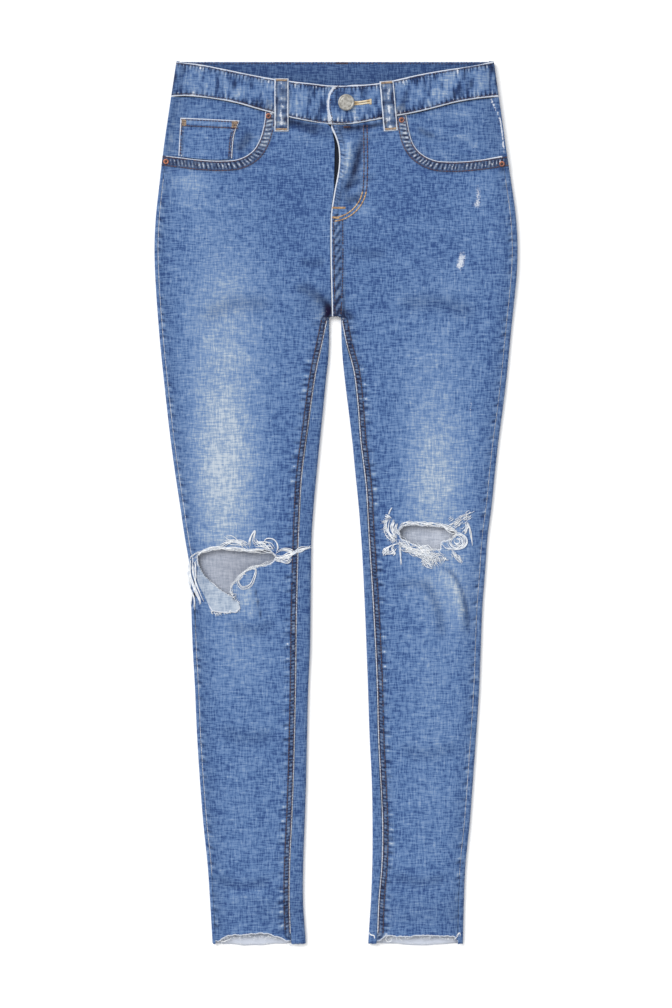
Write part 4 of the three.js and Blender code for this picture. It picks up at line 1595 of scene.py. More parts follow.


# --- Wash: where the cloth is pale from fading, worn and dark, and where light and shade are painted ---


BASE_FADE = 0.2
FADES = (  # centre X and Y, half widths across and along, amount
    (-122, 20, 36, 95, 0.58), (-124, 130, 42, 95, 0.28), (-118, 225, 44, 64, 0.24),
    (-105, -150, 34, 66, 0.16), (108, 20, 34, 85, 0.47), (105, 130, 36, 100, 0.13),
    (130, -95, 30, 40, 0.23), (108, -200, 34, 90, 0.12), (88, -86, 30, 26, 0.12), (-158, 344, 20, 24, 0.22),
    (-120, 322, 60, 9, 0.12), (-166, 349, 14, 5, 0.2), (-150, 341, 16, 4, 0.16), (31, 317, 9, 6, 0.26),
    (-70, 300, 60, 9, 0.06), (150, 340, 20, 36, 0.07),
    (-50, 315, 40, 50, -0.1), (78, 320, 50, 60, -0.07), (-97, -101, 9, 16, 0.3), (-95, -330, 30, 90, 0.05),
    (95, -330, 30, 90, 0.07), (50, -30, 14, 120, -0.06), (-52, -30, 14, 120, -0.06),
    (-140, 296, 28, 10, 0.09), (94, 299, 34, 6, 0.1), (76, 226, 28, 9, 0.08), (136, 236, 26, 14, 0.08),
    (60, 262, 40, 7, 0.06),
)
MARKS = (  # the same, for small rubbed spots
    (153, 333, 3.5, 15, 0.5), (135.5, 264, 5, 11, 0.56), (132, 256, 3, 5, 0.45), (145, 102, 2.5, 18, 0.4),
    (-164, 347, 7, 8, 0.26), (150, 322, 5, 4, 0.35), (131, 396, 6, 2, 0.4), (150, 384, 7, 2.2, 0.36),
    (118, -23, 9, 3, 0.4), (134, -17, 8, 4, 0.42), (104, -60, 12, 4, 0.4), (58, -26, 6, 12, 0.36),
    (128, -50, 8, 5, 0.36),
)
DARKS = (  # the same, for darker spots: painted shade in the crotch, under the waistband, in the fly's folds and by the knees' creases and flap, and darker cloth near the hems
    (-8.6, 208, 4.4, 8, 1.1), (-14, 216, 20, 14, 0.22), (2, 204, 4, 6, 0.4), (-109.5, -100.5, 2, 3.2, 1.0),
    (0, 400, 40, 7, 0.25), (140, -112, 6, 26, 0.2), (-50, -440, 60, 16, 0.12), (95, -440, 60, 16, 0.12),
    (22, 360, 6, 24, 0.3), (10, 330, 12, 9, 0.25),
)
TEAR_SHADE = ((-106, -68, 36, 24, 0.34), (100, -35, 34, 14, 0.08))  # the same: painted shade on the back's inside, where it shows through the knee tears


class Wash:
    """Fade, wear and shade of the whole garment, as functions of X and Y; painted highlights go with the fade
    and painted shade with the shade.
    """

    def __init__(self, relief: Relief) -> None:
        """Args:
            relief: Heights, for the puckers and the distance to the folds.
        """
        self.relief = relief

    @staticmethod
    def spots(table: Sequence[tuple[float, ...]], x: Array, y: Array) -> Array:
        """Sum of soft spots."""
        return sum(top * np.exp(-((x - cx) / sx) ** 2 - ((y - cy) / sy) ** 2)
                   for cx, cy, sx, sy, top in table)

    def on(self, edges: Sequence[tuple[Line, float]] = (), rim: float = 0.0, fade: float = 0.0,
           shade: float = 0.0, torn: Field | None = None, ticks: float = 1.0, width: float = 1.0,
           inner: bool = False) -> PaintField:
        """Paint for one piece.

        Args:
            edges: Worn lines, each with its strength.
            rim: Wear along every edge of the piece.
            fade: Added to the fade.
            shade: Added to the shade.
            torn: Where the piece's edge is raw, 0 to 1.
            ticks: How strongly the seams' puckers show in the colour.
            width: Width of the worn lines.
            inner: Whether it is the back, whose inside shows through the tears and below the hems; it takes
                painted shade under the tears and painted light below the hems.

        Returns:
            Function of X, Y and the distance to the piece's edge.
        """
        def paint(x: Array, y: Array, depth: Array) -> Array:
            """Fade, wear and shade of the front at each point, with painted highlights and painted shade."""
            swell = ticks * self.relief.swell(x, y)
            # Crease heights, which also colour the cloth: paler ridges, partly rubbed wear and partly painted
            # highlight, and painted shade in the troughs.
            folds = self.relief.folded(x, y) * min(ticks, 1)
            fell = {name: item.inside(x, y) for name, item in FELLS.items()}
            seam = fell["inseam_right"] + fell["inseam_left"] + 0.3 * fell["centre"]
            mouth = fell["mouth_right"] + fell["mouth_left"]
            # Nearness to a side fold: the fade weakens there, and painted shade darkens the cloth where it
            # rounds away over the fold.
            rounding = bell(self.relief.fold_distance(x, y), 16)
            uneven = mottle(x, y, 2.2, 2.4, 70) - 0.5
            paleness = BASE_FADE + self.spots(FADES, x, y) * (1 - 0.6 * rounding) + fade
            ladder = ticks * sum(item.ladder(x, y) for item in FELLS.values())
            # Under the rows of stitching, which take painted shade in their grooves.
            rows = ticks * sum(item.rows(x, y) for item in FELLS.values())
            # Folds drawn in the colour alone: painted highlights and painted shade.
            painted_folds = sum(c.rise(x, y) for c in PAINTED_FOLDS)
            inward = blend(372, 392, y)
            paleness += 0.4 * np.maximum(swell, 0) - 0.1 * np.maximum(-swell, 0) + (0.06 + 0.24 * inward) * mouth
            paleness += 0.1 * folds + 0.14 * seam * uneven + 0.4 * np.maximum(ladder, 0) + np.maximum(painted_folds, 0)
            # Darkening: painted shade from the spots, beside the side folds, in the crease troughs and in the
            # stitching grooves, with the darker seams, gathers and ladder ticks.
            dark = shade + self.spots(DARKS, x, y) + 0.5 * np.maximum(-swell, 0) + 0.18 * rounding
            dark += 0.34 * seam + (0.5 - 0.21 * inward) * mouth + 0.3 * np.maximum(-folds, 0) + 0.35 * rows
            dark += np.maximum(-ladder, 0) * (0.75 - 0.15 * seam)
            dark += np.maximum(-painted_folds, 0)
            # The back's inside: painted light below the front's hems, where the front's edge casts its shade,
            # and painted shade under the knee tears.
            if inner:
                paleness += 0.7 * (1 - blend(-472, -462, y)) * (1 - blend(37, 41, np.abs(np.abs(x) - 90)))
                dark = 0.7 * dark + self.spots(TEAR_SHADE, x, y)
            wear = self.spots(MARKS, x, y) + rim * bell(depth, width)
            wear += 0.6 * np.maximum(swell - 0.4, 0) * (1 - seam)
            wear += np.maximum(ladder - 0.2, 0) * (0.42 * mouth + 0.36 * seam) + 0.12 * mouth
            for line, strength in edges:
                near = line.nearest(x, y, 5.0)[0]
                wear = np.maximum(wear, strength * bell(near, width))
            if torn is not None:
                wear = np.maximum(wear, torn(x, y) * bell(depth, np.where(y < -440, 1.3, 1.5)))
            # Painted shade deep in the crotch's gap, beyond the clip of the other shade.
            crotch_shade = 0.15 * np.exp(-((x + 8.2) / 3.6) ** 4 - ((y - 207) / 7) ** 4)
            return np.clip(columns(paleness, wear, dark), 0, 1) + crotch_shade[:, None] * (0, 0, 1)

        return paint

    def under(self, rim: float = 0.0, fade: float = 0.0) -> PaintField:
        """Paint for cloth that faces down: the same wash, without the front's seams and rubbed spots, with
        painted shade beside the side folds.

        Args:
            rim: Wear along every edge of the piece.
            fade: Added to the fade.

        Returns:
            Function of X, Y and the distance to the piece's edge.
        """
        def paint(x: Array, y: Array, depth: Array) -> Array:
            """Fade, wear and shade of cloth that faces down."""
            # Nearness to a side fold: the fade weakens there, and painted shade darkens the cloth where it
            # rounds away over the fold.
            rounding = bell(self.relief.fold_distance(x, y), 16)
            uneven = mottle(x, y, 13.0, 21.0, 72) - 0.5
            paleness = BASE_FADE + fade + 0.5 * self.spots(FADES, x, y) * (1 - 0.6 * rounding) + 0.1 * uneven
            hem = 0.5 * (1 - blend(-474.5, -472.5, y))
            wear = np.maximum(rim * np.exp(-depth ** 2), hem)
            return np.clip(columns(paleness, wear, 0.18 * rounding), 0, 1)

        return paint


# --- The garment ---


class Jeans:
    def __init__(self) -> None:
        """Prepares the shared relief, wash and finishes."""
        self.relief = Relief()
        self.wash = Wash(self.relief)
        self.looks = Looks()
        self.cloth = (self.looks.denim, self.looks.inside, self.looks.edge)
        self.mouth = {side: Line(POCKET_MOUTH[side]) for side in Side}
        self.inseam = {side: Line(INSEAM[side]) for side in Side}
        self.band_low, self.band_top, self.fly_edge = Line(BAND_LOW), Line(BAND_TOP), Line(FLY_EDGE)
        self.fly_stitch = Line(FLY_STITCH)

    # handing over

    def hand(self, piece: Object, slot: str, *nodes: str) -> Object:
        """Gives a piece its body and hides the nodes that it stands for.

        Args:
            piece: The visible piece.
            slot: Its slot; not used.
            nodes: Nodes that it replaces.

        Returns:
            The same piece.
        """
        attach(piece, ROOT)
        if nodes:
            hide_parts(*nodes)
        log.info("%s: %d faces", piece.name, len(piece.data.polygons))
        return piece

    def sheet(self, panel: Panel | FoldedPanel, rests_on: Sequence[str], *nodes: str, slot: str = "denim",
              with_pieces: Sequence[str] = ()) -> Object:
        """Builds a cloth piece, hands it over and logs its cut.

        Args:
            panel: The cloth piece, not yet built.
            rests_on: Pieces under it; not used.
            nodes: Nodes that it replaces.
            slot: Its slot, passed to hand, which does not use it.
            with_pieces: Pieces that are cut with it; not used.

        Returns:
            The new object.
        """
        piece = self.hand(panel.build(), slot, *nodes)
        flat, area = panel.cut
        area = min(area, flat[0] * flat[1])
        log.info("%s: cut %.0f x %.0f mm, %.0f cm2", piece.name, flat[0] / MM, flat[1] / MM, area * 1e4)
        return piece

    # the back

    def build_back(self) -> None:
        """Back panels, yokes and the back of the waistband."""
        for side in Side:
            folds = self.relief.folds[side]
            sign = side.value
            outer = {"fold": folds.outer, "seam": folds.outseam, "sign": sign}
            inseam = Curve([(y, x - sign * 0.15) for x, y in INSEAM[side]])
            inner = {"fold": folds.inner, "seam": inseam, "sign": -sign, "centre": CENTRE_BACK_X}
            ends = [inner, outer] if sign > 0 else [outer, inner]
            rows = np.concatenate([np.arange(411.4, CROTCH_Y, -4.0),
                                   np.arange(CROTCH_Y - 0.4, -473.4, -3.0), [-473.4]])
            paint = self.wash.on(torn=self._torn_back, ticks=0.8, inner=True)
            panel = FoldedPanel(f"back_panel_{side.word}", self.relief, rows, self._settle_back, ends,
                                self.cloth, paint, self.wash.under())
            self.sheet(panel, [GROUND, f"back_pocket_{side.word}"], f"back_{side.word}")
            centre = {"fold": self._centre_back, "seam": self._centre_back, "sign": -sign,
                      "centre": CENTRE_BACK_X}
            ends = [centre, outer] if sign > 0 else [outer, centre]
            yoke = FoldedPanel(f"back_yoke_{side.word}", self.relief, np.arange(438.8, 411.6, -2.7),
                               self._settle_yoke, ends, self.cloth, self.wash.on(ticks=0.8),
                               self.wash.under())
            self.sheet(yoke, [GROUND, "back_band"], f"yoke_{side.word}")
        right, left = (self.relief.folds[side] for side in Side)
        ends = [{"fold": fold.outer, "seam": fold.outseam, "sign": side.value} for side, fold in
                ((Side.RIGHT, right), (Side.LEFT, left))]
        edges = [(Line([(-200, 476.8), (200, 476.8)]), 0.5)]
        rows = [476.8, 476.3, 475, 472, 467, 461, 454, 448, 443.5, 440.6, 439.3]
        band = FoldedPanel("back_band", self.relief, rows, lambda x, y: y, ends,
                           (self.looks.denim, self.looks.denim, self.looks.edge),
                           self.wash.on(edges, shade=0.3, fade=-0.08, ticks=0), self.wash.under(fade=-0.06),
                           wall=BAND, rise=1.2)
        self.sheet(band, [GROUND, "back_loop_centre"], "waistband_back")

    @staticmethod
    def _centre_back(y: Array) -> Array:
        """X of the centre back at each Y."""
        return CENTRE_BACK_X + 0 * y

    @staticmethod
    def _yoke_seam(x: Array) -> Array:
        """Height of the yoke seam at each X."""
        return YOKE_SEAM[0] + YOKE_SEAM[1] * np.abs(x - CENTRE_BACK_X) / YOKE_SEAM[2]

    def _settle_back(self, x: Array, y: Array) -> Array:
        """Rows bent to the yoke seam at the top and to the uneven hem at the foot.

        Args:
            x: X of the points.
            y: Y of the points.

        Returns:
            Y of the settled points.
        """
        top, foot = float(y.max()), float(y.min())
        hem = -473.6 - 2.6 * bell(np.abs(x) - 92, 26)
        hem = hem + 0.5 * np.sin(x * 1.9) * np.sin(x * 0.73) - 0.1
        settled = y - (top - self._yoke_seam(x) + GAP) * (1 - blend(0, 130, top - y))
        return settled + (hem - foot) * (1 - blend(0, 24, y - foot))

    def _settle_yoke(self, x: Array, y: Array) -> Array:
        """Rows bent to the yoke seam at the foot.

        Args:
            x: X of the points.
            y: Y of the points.

        Returns:
            Y of the settled points.
        """
        top, foot = float(y.max()), float(y.min())
        return y - (foot - self._yoke_seam(x)) * blend(0, 1, (top - y) / (top - foot))

    @staticmethod
    def _torn_back(x: Array, y: Array) -> Array:
        """Raw edge of the back's hem, 0 to 1."""
        return 0.5 * (1 - blend(-474.5, -472.5, y))

    def build_under(self) -> None:
        """Back pockets and back belt loops, which lie face down under the back."""
        for side in Side:
            node = f"back_pocket_{side.word}"
            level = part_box(node)[0].z / MM
            panel = Panel(f"back_patch_{side.word}", plan_loops(node),
                          lambda x, y, z=level: z + 0.3 + 0 * x, self.cloth,
                          self.wash.under(0.7, 0.12), spacing=3.5, face_down=True)
            self.sheet(panel, [GROUND], node)
        for place in ("right", "centre", "left"):
            node = f"belt_loop_back_{place}"
            panel = Panel(f"back_loop_{place}", plan_loops(node), lambda x, y: 0 * x, self.cloth,
                          self.wash.under(0.8, 0.1), spacing=2.0, face_down=True)
            self.sheet(panel, [GROUND], node)

    # the front

    def _torn_front(self, x: Array, y: Array) -> Array:
        """1 beside the knee tears and at the hems.

        Args:
            x: X of the points.
            y: Y of the points.

        Returns:
            Values from 0 to 1.
        """
        knees = sum(np.exp(-np.maximum(np.hypot((x - cx) / sx, (y - cy) / sy) - 1, 0) * 8)
                    for cx, cy, sx, sy in ((-108, -72, 48, 36), (98, -38, 36, 20)))
        sides = np.min([np.abs(seam(y) - x) for folds in self.relief.folds.values()
                        for seam in (folds.outseam, Curve([(b, a) for a, b in INSEAM[folds.side]]))], axis=0)
        hems = (1 - blend(-462, -455, y)) * np.maximum(blend(1.0, 3.0, sides), 1 - blend(-471, -469, y))
        return np.clip(knees + hems, 0, 1)

    def build_front(self) -> None:
        """Front panels, pocket facings, the coin pocket and the fly's shield."""
        for side in Side:
            word, sign = side.word, side.value
            node = f"front_{word}"
            outseam = Line([(float(self.relief.folds[side].outseam(y)[0]) - sign * 0.2, y)
                            for y in range(-400, 366, 25)])
            edges = [(self.mouth[side], 1.0), (self.inseam[side].offset(sign * -0.6), 0.62), (outseam, 0.62),
                     (self.fly_edge, 0.8 if side is Side.LEFT else 0.1)]
            dense = [(self.mouth[side], 13), (self.inseam[side], 11), (outseam, 9), (self.fly_edge, 12)]
            if side is Side.LEFT:
                dense.append((self.fly_stitch, 6))
                edges.append((self.fly_edge.offset(-0.7), 0.85))
            loops = plan_loops(node)
            panel = Panel(f"front_panel_{word}", [self._trimmed(loops[0], side), *loops[1:]],
                          self.relief.panel, self.cloth,
                          self.wash.on(edges, torn=self._torn_front, width=0.85), dense=dense, jag=1.0,
                          ragged=self._torn_front, seed=40 + sign)
            self.sheet(panel, [f"back_panel_{word}", f"pocket_lining_{word}"], node)
            node = f"pocket_facing_{word}"
            facing = Panel(f"pocket_lining_{word}", [self._over_fold(plan_loops(node)[0], side, 5.0)],
                           self._facing, (self.looks.denim,) * 3,
                           self.wash.on([(Line(SIDE_SEAM), 0.75)], ticks=0.3, fade=0.02, shade=0.06),
                           wall=0.9, spacing=2.0)
            self.sheet(facing, [f"back_panel_{word}"], node)
        mouth = Line([(-167.4, 415.8), (-103.7, 412.6)])
        inner = Line([(-103.7, 412.6), (-109.1, 398.5), (-111.2, 382.3), (-111.8, 372)])
        outer = Line([(-167.4, 415.8), (-169.6, 375)])
        coin = Panel("coin_patch", plan_loops("coin_pocket"), self._coin_face, self.cloth,
                     self._coin_paint(mouth, inner, outer), wall=0.9, spacing=1.3)
        self.sheet(coin, ["pocket_lining_right"], "coin_pocket")
        # The underlap shows through the fly's gap: deep painted shade on it.
        shield = Panel("fly_underlap", plan_loops("fly_shield"), lambda x, y: self.relief.bare(x, y) - 2.8,
                       self.cloth, self.wash.on(ticks=0, fade=-0.3, shade=1.0), wall=1.0)
        self.sheet(shield, ["back_panel_left", "back_panel_right"], "fly_shield")

    def build_zip(self) -> None:
        """Tape, teeth and slider of the closed zip, which lies under the left front."""
        def tape_face(x: Array, y: Array) -> Array:
            """Height of the tape's face."""
            return self.relief.bare(x, y) - 2.0

        tape = Panel("zip_band", plan_loops("zip"), tape_face, (self.looks.tape,) * 3,
                     self.wash.on(ticks=0), wall=0.5)
        self.sheet(tape, ["fly_underlap"], "zip", slot="zip_tape")
        row = [tooth_at(ZIP_X, y, 1 if i % 2 else -1) for i, y in enumerate(np.arange(*ZIP_RUN, 1.15))]
        self.hand(stamped("zip_teeth", row, tape_face, (0.0, 0.4), self.looks.button), "button_metal")
        body = [(-3.4, 4.6), (-4.0, 1.0), (-2.5, -4.2), (2.5, -4.2), (4.0, 1.0), (3.4, 4.6), (0.0, 2.6)]
        tab = [(-1.5, 2.0), (-2.0, -10.0), (-1.2, -12.6), (1.2, -12.6), (2.0, -10.0), (1.5, 2.0)]
        for name, outline, span in (("zip_slider", body, (0.6, 1.7)), ("zip_pull_tab", tab, (1.9, 2.5))):
            loop = np.array(outline) + (ZIP_X + 0.4, ZIP_RUN[1] - 6)
            self.hand(stamped(name, [loop], tape_face, span, self.looks.button), "button_metal")

    def _trimmed(self, loop: Array, side: Side) -> Array:
        """Front panel's outline with its inseam drawn in at the crotch and its hem corners squared.

        Args:
            loop: The solid's outline.
            side: The panel's side.

        Returns:
            Closed outline.
        """
        crotch = (loop[:, 1] > 165) & (loop[:, 1] < 203) & (np.abs(loop[:, 0] - 15 * side.value) < 9.8)
        seam = Curve([(y, x) for x, y in INSEAM[side]])(np.minimum(loop[:, 1], 197))
        loop = columns(np.where(crotch, seam, loop[:, 0]), loop[:, 1])
        made = []
        for i, (x, y) in enumerate(loop):
            after, before = loop[(i + 1) % len(loop), 1], loop[i - 1, 1]
            corner = abs(y + 462) < 0.5
            if corner and before < y:
                made.append((x, -471.0))
            made.append((x, y))
            if corner and after < y:
                made.append((x, -471.0))
        return np.array(made)

    def _over_fold(self, loop: Array, side: Side, reach: float) -> Array:
        """Outline whose outer end is drawn out over the side fold.

        Args:
            loop: Outline to draw out.
            side: Its side.
            reach: Distance from the fold within which its points move.

        Returns:
            Closed outline.
        """
        outer = self.relief.folds[side].outer(loop[:, 1]) - side.value * 0.5
        near = (np.abs(outer - loop[:, 0]) < reach) | ((np.abs(loop[:, 0]) > 168) & (loop[:, 1] > 436))
        return columns(np.where(near, outer, loop[:, 0]), loop[:, 1])

    def _coin_paint(self, mouth: Line, inner: Line, outer: Line) -> PaintField:
        """Coin pocket's paint: worn edges, painted shade along the doubled hem's rows of stitching, and ticks
        beside the rows.

        Args:
            mouth: The pocket's upper edge.
            inner: Its edge towards the centre.
            outer: Its edge towards the side.

        Returns:
            Function of X, Y and the distance to the edge.
        """
        plain = self.wash.on([(mouth, 0.85), (inner, 0.9), (outer, 0.75)], fade=0.02, ticks=0.3, width=1.15)

        def paint(x: Array, y: Array, depth: Array) -> Array:
            """Fade, wear and shade at each point."""
            made = plain(x, y, depth)
            near, _, _ = mouth.nearest(x, y, 14)
            made[:, 0] += 0.14 * (near < 7)
            # Painted shade along the hem's two rows of stitching.
            made[:, 2] += 0.8 * bell(near - 8.4, 1.0) + 0.3 * bell(near - 1.9, 0.7)
            made[:, 1] += 0.35 * bell(near - 10.0, 0.6)
            for line, seed in ((inner, 65), (outer, 66)):
                near, along, _ = line.nearest(x, y, 9)
                here = bell(near - 3.0, 1.7)
                ticks = teeth(along, 3.6, seed)
                made[:, 1] += 0.45 * np.maximum(ticks, 0) * here
                made[:, 2] += (0.25 + 0.6 * np.maximum(-ticks, 0)) * here
            return np.clip(made, 0, 1)

        return paint

    def _facing(self, x: Array, y: Array) -> Array:
        """Height of the pocket facings' face, which rises to cover the side fold.

        Args:
            x: X of the points.
            y: Y of the points.

        Returns:
            Heights.
        """
        outer = np.where(x < 0, self.relief.folds[Side.RIGHT].outer(y), self.relief.folds[Side.LEFT].outer(y))
        folded = 1 - blend(2.5, 11, np.abs(outer - x))
        creases = 0.8 * sum(c.rise(x, y) for c in FACING_CREASES)
        return self.relief.bare(x, y) - 1.5 + 1.75 * folded + creases * (1 - folded)

    def _band_face(self, x: Array, y: Array) -> Array:
        """Height of the front waistband's face: puckered rows beside both edges.

        Args:
            x: X of the points.
            y: Y of the points.

        Returns:
            Heights.
        """
        height = self.relief.bare(x, y) + 1.35
        height -= 1.3 * np.maximum(1 - self.relief.fold_distance(x, y) / 2.6, 0) ** 2
        for line, seed in ((self.band_low, 51), (self.band_top, 52)):
            near, along, _ = line.nearest(x, y, 14)
            rng = np.random.default_rng(seed)
            wave = sum(np.sin(2 * np.pi * (along / pitch + rng.random())) for pitch in (5.2, 3.7, 8.9)) / 2.2
            height += 0.4 * wave * bell(near - 3.2, 3.2) * (near < 13)
            height -= 0.25 * bell(near - 2.0, 0.8) * (near < 13)
        return height

    @staticmethod
    def _dip(x: Array) -> Array:
        """How far the right front band runs down under the left one's end."""
        return 2.35 * blend(-27, -10.5, x)

    def _band_paint(self) -> PaintField:
        """Waistband's paint: worn edges, ticks of light and dark beside them, and painted shade along the
        rows of stitching.
        """
        plain = self.wash.on([(self.band_low, 1.0), (self.band_top, 1.0), (Line(OVERLAP_END), 1.0)],
                             shade=0.05, ticks=0, width=1.25)

        def paint(x: Array, y: Array, depth: Array) -> Array:
            """Fade, wear and shade at each point."""
            made = plain(x, y, depth)
            patches = np.clip(mottle(x, y, 7.0, 13.0, 62) + mottle(x, y, 2.3, 9.0, 67) - 1, -1, 1)
            made[:, 0] += 0.5 * patches + 0.06
            made[:, 1] += 0.6 * np.maximum(patches - 0.2, 0)
            made[:, 2] += 0.9 * np.maximum(-patches, 0)
            for line, seed in ((self.band_low, 63), (self.band_top, 64)):
                near, along, _ = line.nearest(x, y, 14)
                ticks = teeth(along, 3.7 if seed == 64 else 4.9, seed)
                length = 1.4 + 4.4 * mottle(along, 0 * along + 5, 4.0, 1.0, seed + 4)
                here = bell(np.maximum(near - 3.4, 0), length) * blend(1.4, 3.0, near)
                made[:, 0] += 0.22 * ticks * here
                made[:, 1] += 0.7 * np.maximum(ticks - 0.4, 0) * here
                # Dark ticks beside the edge, and painted shade in the groove of each row of stitching.
                made[:, 2] += 0.62 * np.maximum(-ticks, 0) * here + 0.6 * bell(near - 2.1, 0.8)
            return np.clip(made, 0, 1)

        return paint

    def build_band(self) -> None:
        """The waistband's two front pieces."""
        def under_end(x: Array, y: Array) -> Array:
            """Height of the right band's face."""
            return self._band_face(x, y) - self._dip(x)

        for side, face, holes, rests in (
                (Side.LEFT, self._band_face, [BUTTONHOLE.cut()], ["front_panel_left", "front_band_right"]),
                (Side.RIGHT, under_end, [], ["front_panel_right"])):
            node = f"waistband_front_{side.word}"
            outline = self._over_fold(plan_loops(node)[0], side, 6.0)
            band = Panel(f"front_band_{side.word}", [outline, *holes], face, (self.looks.denim,) * 3,
                         self._band_paint(), wall=BAND, spacing=1.5, rings=(0.35, 0.8, 1.4), round_at=1.3)
            self.sheet(band, rests, node)

    def build_loops(self) -> None:
        """Belt loops at the front: strips that bow off the waistband."""
        for side, (x, top, edge, foot, lean) in FRONT_LOOPS.items():
            node = f"belt_loop_front_{side.word}"
            profile = Curve([(foot, 1.15), (foot + 3, 1.35), (edge - 8, 1.5), (edge - 1, 2.6),
                             (edge + 7, 3.1), ((top + edge) / 2, 3.4), (top - 6, 3.0), (top - 1.5, 2.45),
                             (top, 2.35)])
            middle = Line([(x + lean * (foot - top) / 2, top), (x - lean * (foot - top) / 2, foot)])

            def face(x: Array, y: Array, rise: Curve = profile, line: Line = middle) -> Array:
                """Height of the strip's face, with a rounded middle."""
                near = line.nearest(x, y, 12)[0]
                ridge = 0.3 * bell(near, 1.6)
                return self.relief.bare(x, y) + rise(y) + ridge - 0.25 * bell(near - 4.4, 0.6)

            outline = plan_loops(node)[0]
            share = 2 * (outline[:, 1] - (top + foot) / 2) / (top - foot)
            centre = x - lean * share * (top - foot) / 2
            outline[:, 0] = centre + (outline[:, 0] - centre) * (1.04 + 0.16 * np.abs(share) ** 3)
            strip = Panel(f"front_loop_{side.word}", [outline], face, self.cloth,
                          self._loop_paint(middle), spacing=0.9, rings=(0.3, 0.7, 1.2))
            self.sheet(strip, [f"front_band_{side.word}"], node)

    def _loop_paint(self, middle: Line) -> PaintField:
        """Belt loops' paint: rubbed pale, with painted shade in the hollows beside the ridge.

        Args:
            middle: Middle line of the strip.

        Returns:
            Function of X, Y and the distance to the edge.
        """
        plain = self.wash.on([(middle, 0.35)], rim=0.9, fade=0.3, ticks=0, width=1.2)

        def paint(x: Array, y: Array, depth: Array) -> Array:
            """Fade, wear and shade at each point."""
            made = plain(x, y, depth)
            uneven = np.clip(2 * (mottle(x, y, 3.0, 4.4, 61) - 0.5), -1, 1)
            # Painted shade in the hollows along both sides of the ridge.
            sides = bell(depth - 2.3, 0.9)
            made += columns(0.26 * uneven, 0.56 * np.maximum(uneven, 0) * (1 - sides),
                            0.36 + 0.5 * np.maximum(-uneven, 0) + 0.4 * sides)
            return np.clip(made, 0, 1)

        return paint

    # threads, stitches and metal

    def build_knees(self) -> None:
        """The turned-out flap and every frayed thread of the two tears."""
        rng = np.random.default_rng(101)
        self._tear_right(rng)
        self._tassel_right(rng)
        self._flap_right()
        rng = np.random.default_rng(202)
        self._tear_left(rng)
        self._tuft_left(rng)

    def _frayed(self, name: str, rng: np.random.Generator) -> Yarn:
        """Starts a yarn of white loose threads on the front."""
        return Yarn(name, self.relief.panel, self.looks.white, rng, LOOSE_SIDES)

    def _flap_right(self) -> None:
        """The piece of cloth that the right knee's tear has turned out."""
        def torn(x: Array, y: Array) -> Array:
            """1 at the flap's foot, 0 further up."""
            return 1 - blend(-113, -104, y)

        flap = Panel("knee_turnout_right", plan_loops("knee_flap_right"),
                     lambda x, y: self.relief.panel(x, y) + 1.2,
                     (self.looks.pale_denim, self.looks.inside, self.looks.edge),
                     self.wash.on(rim=0.25, fade=-0.1, ticks=0, torn=torn), wall=1.0, spacing=1.4, jag=0.8,
                     ragged=torn)
        self.sheet(flap, ["front_panel_right"], "knee_flap_right", slot="denim_inside",
                   with_pieces=["knee_threads_right"])

    def _tear_right(self, rng: np.random.Generator) -> None:
        """Loose threads round the right knee's tear and across it.

        Args:
            rng: Source of the unevenness.
        """
        tear = self._frayed("knee_threads_right", rng)
        hole = rounded_loop(plan_loops("front_right")[1], 2.0)
        tear.fray(closed(hole), 90, (1.0, 3.2), -1, 0.7, 0.3, 0.3, 0.6)
        tear.bundle([(-159.5, -63), (-153.4, -56.5), (-142.6, -50.5), (-125.3, -47.4), (-100, -49.5),
                     (-82, -51), (-67, -53)], 9, 1.8, 0.38, 4.0)
        tear.bundle([(-122, -37.5), (-109, -41), (-97, -47.5)], 6, 4.0, 0.42)
        tear.bundle([(-126, -46), (-112, -40.5), (-98, -42.5), (-92, -48)], 5, 2.4, 0.42)
        tear.bundle([(-91.8, -50), (-92.6, -39), (-87.5, -29.4), (-89, -41), (-84, -46)], 3, 0.9, 0.46)
        tear.bundle([(-90, -41), (-80, -44), (-70, -47.5), (-64, -50)], 9, 4.2, 0.42, 1.5)
        tear.bundle([(-79.9, -41.5), (-74.5, -36.7), (-67, -37.8), (-62.6, -45.4), (-63.4, -54)],
                    3, 0.8, 0.48)
        tear.bundle([(-67, -57), (-54, -55.6), (-41, -49.7), (-24.5, -44)], 8, 1.7, 0.50, 3.0)
        tear.bundle([(-66, -53), (-56, -49), (-47, -52), (-50, -57), (-60, -59), (-66, -57)], 4, 1.6, 0.46)
        tear.bundle([(-67, -60), (-58, -60), (-52, -62), (-47, -58)], 5, 2.4, 0.42)
        tear.bundle([(-97, -70.6), (-86.4, -70.2), (-88, -79.9), (-92.9, -88), (-101.5, -89.6),
                     (-104.8, -83.2), (-99.4, -76), (-93, -78)], 5, 1.7, 0.3)
        tear.bundle([(-65.9, -59.4), (-77.8, -65), (-92.9, -69.5), (-103.7, -78), (-112.3, -88.6),
                     (-113, -97)], 5, 1.3, 0.24, 4.0)
        tear.fray(Line([(-114, -94), (-110, -104), (-104, -110)]), 16, (2.5, 7), 1, 0.5, 0.2, 0.26, 0.8)
        tear.fray(Line([(-136.1, -114.6), (-128.5, -117.5), (-116.6, -115), (-103, -113.8)]),
                  46, (1.4, 4.6), -1, 0.6, 0.3, 0.26, 1.4)
        self.hand(tear.build(), "frayed_thread", "knee_fringe_right")

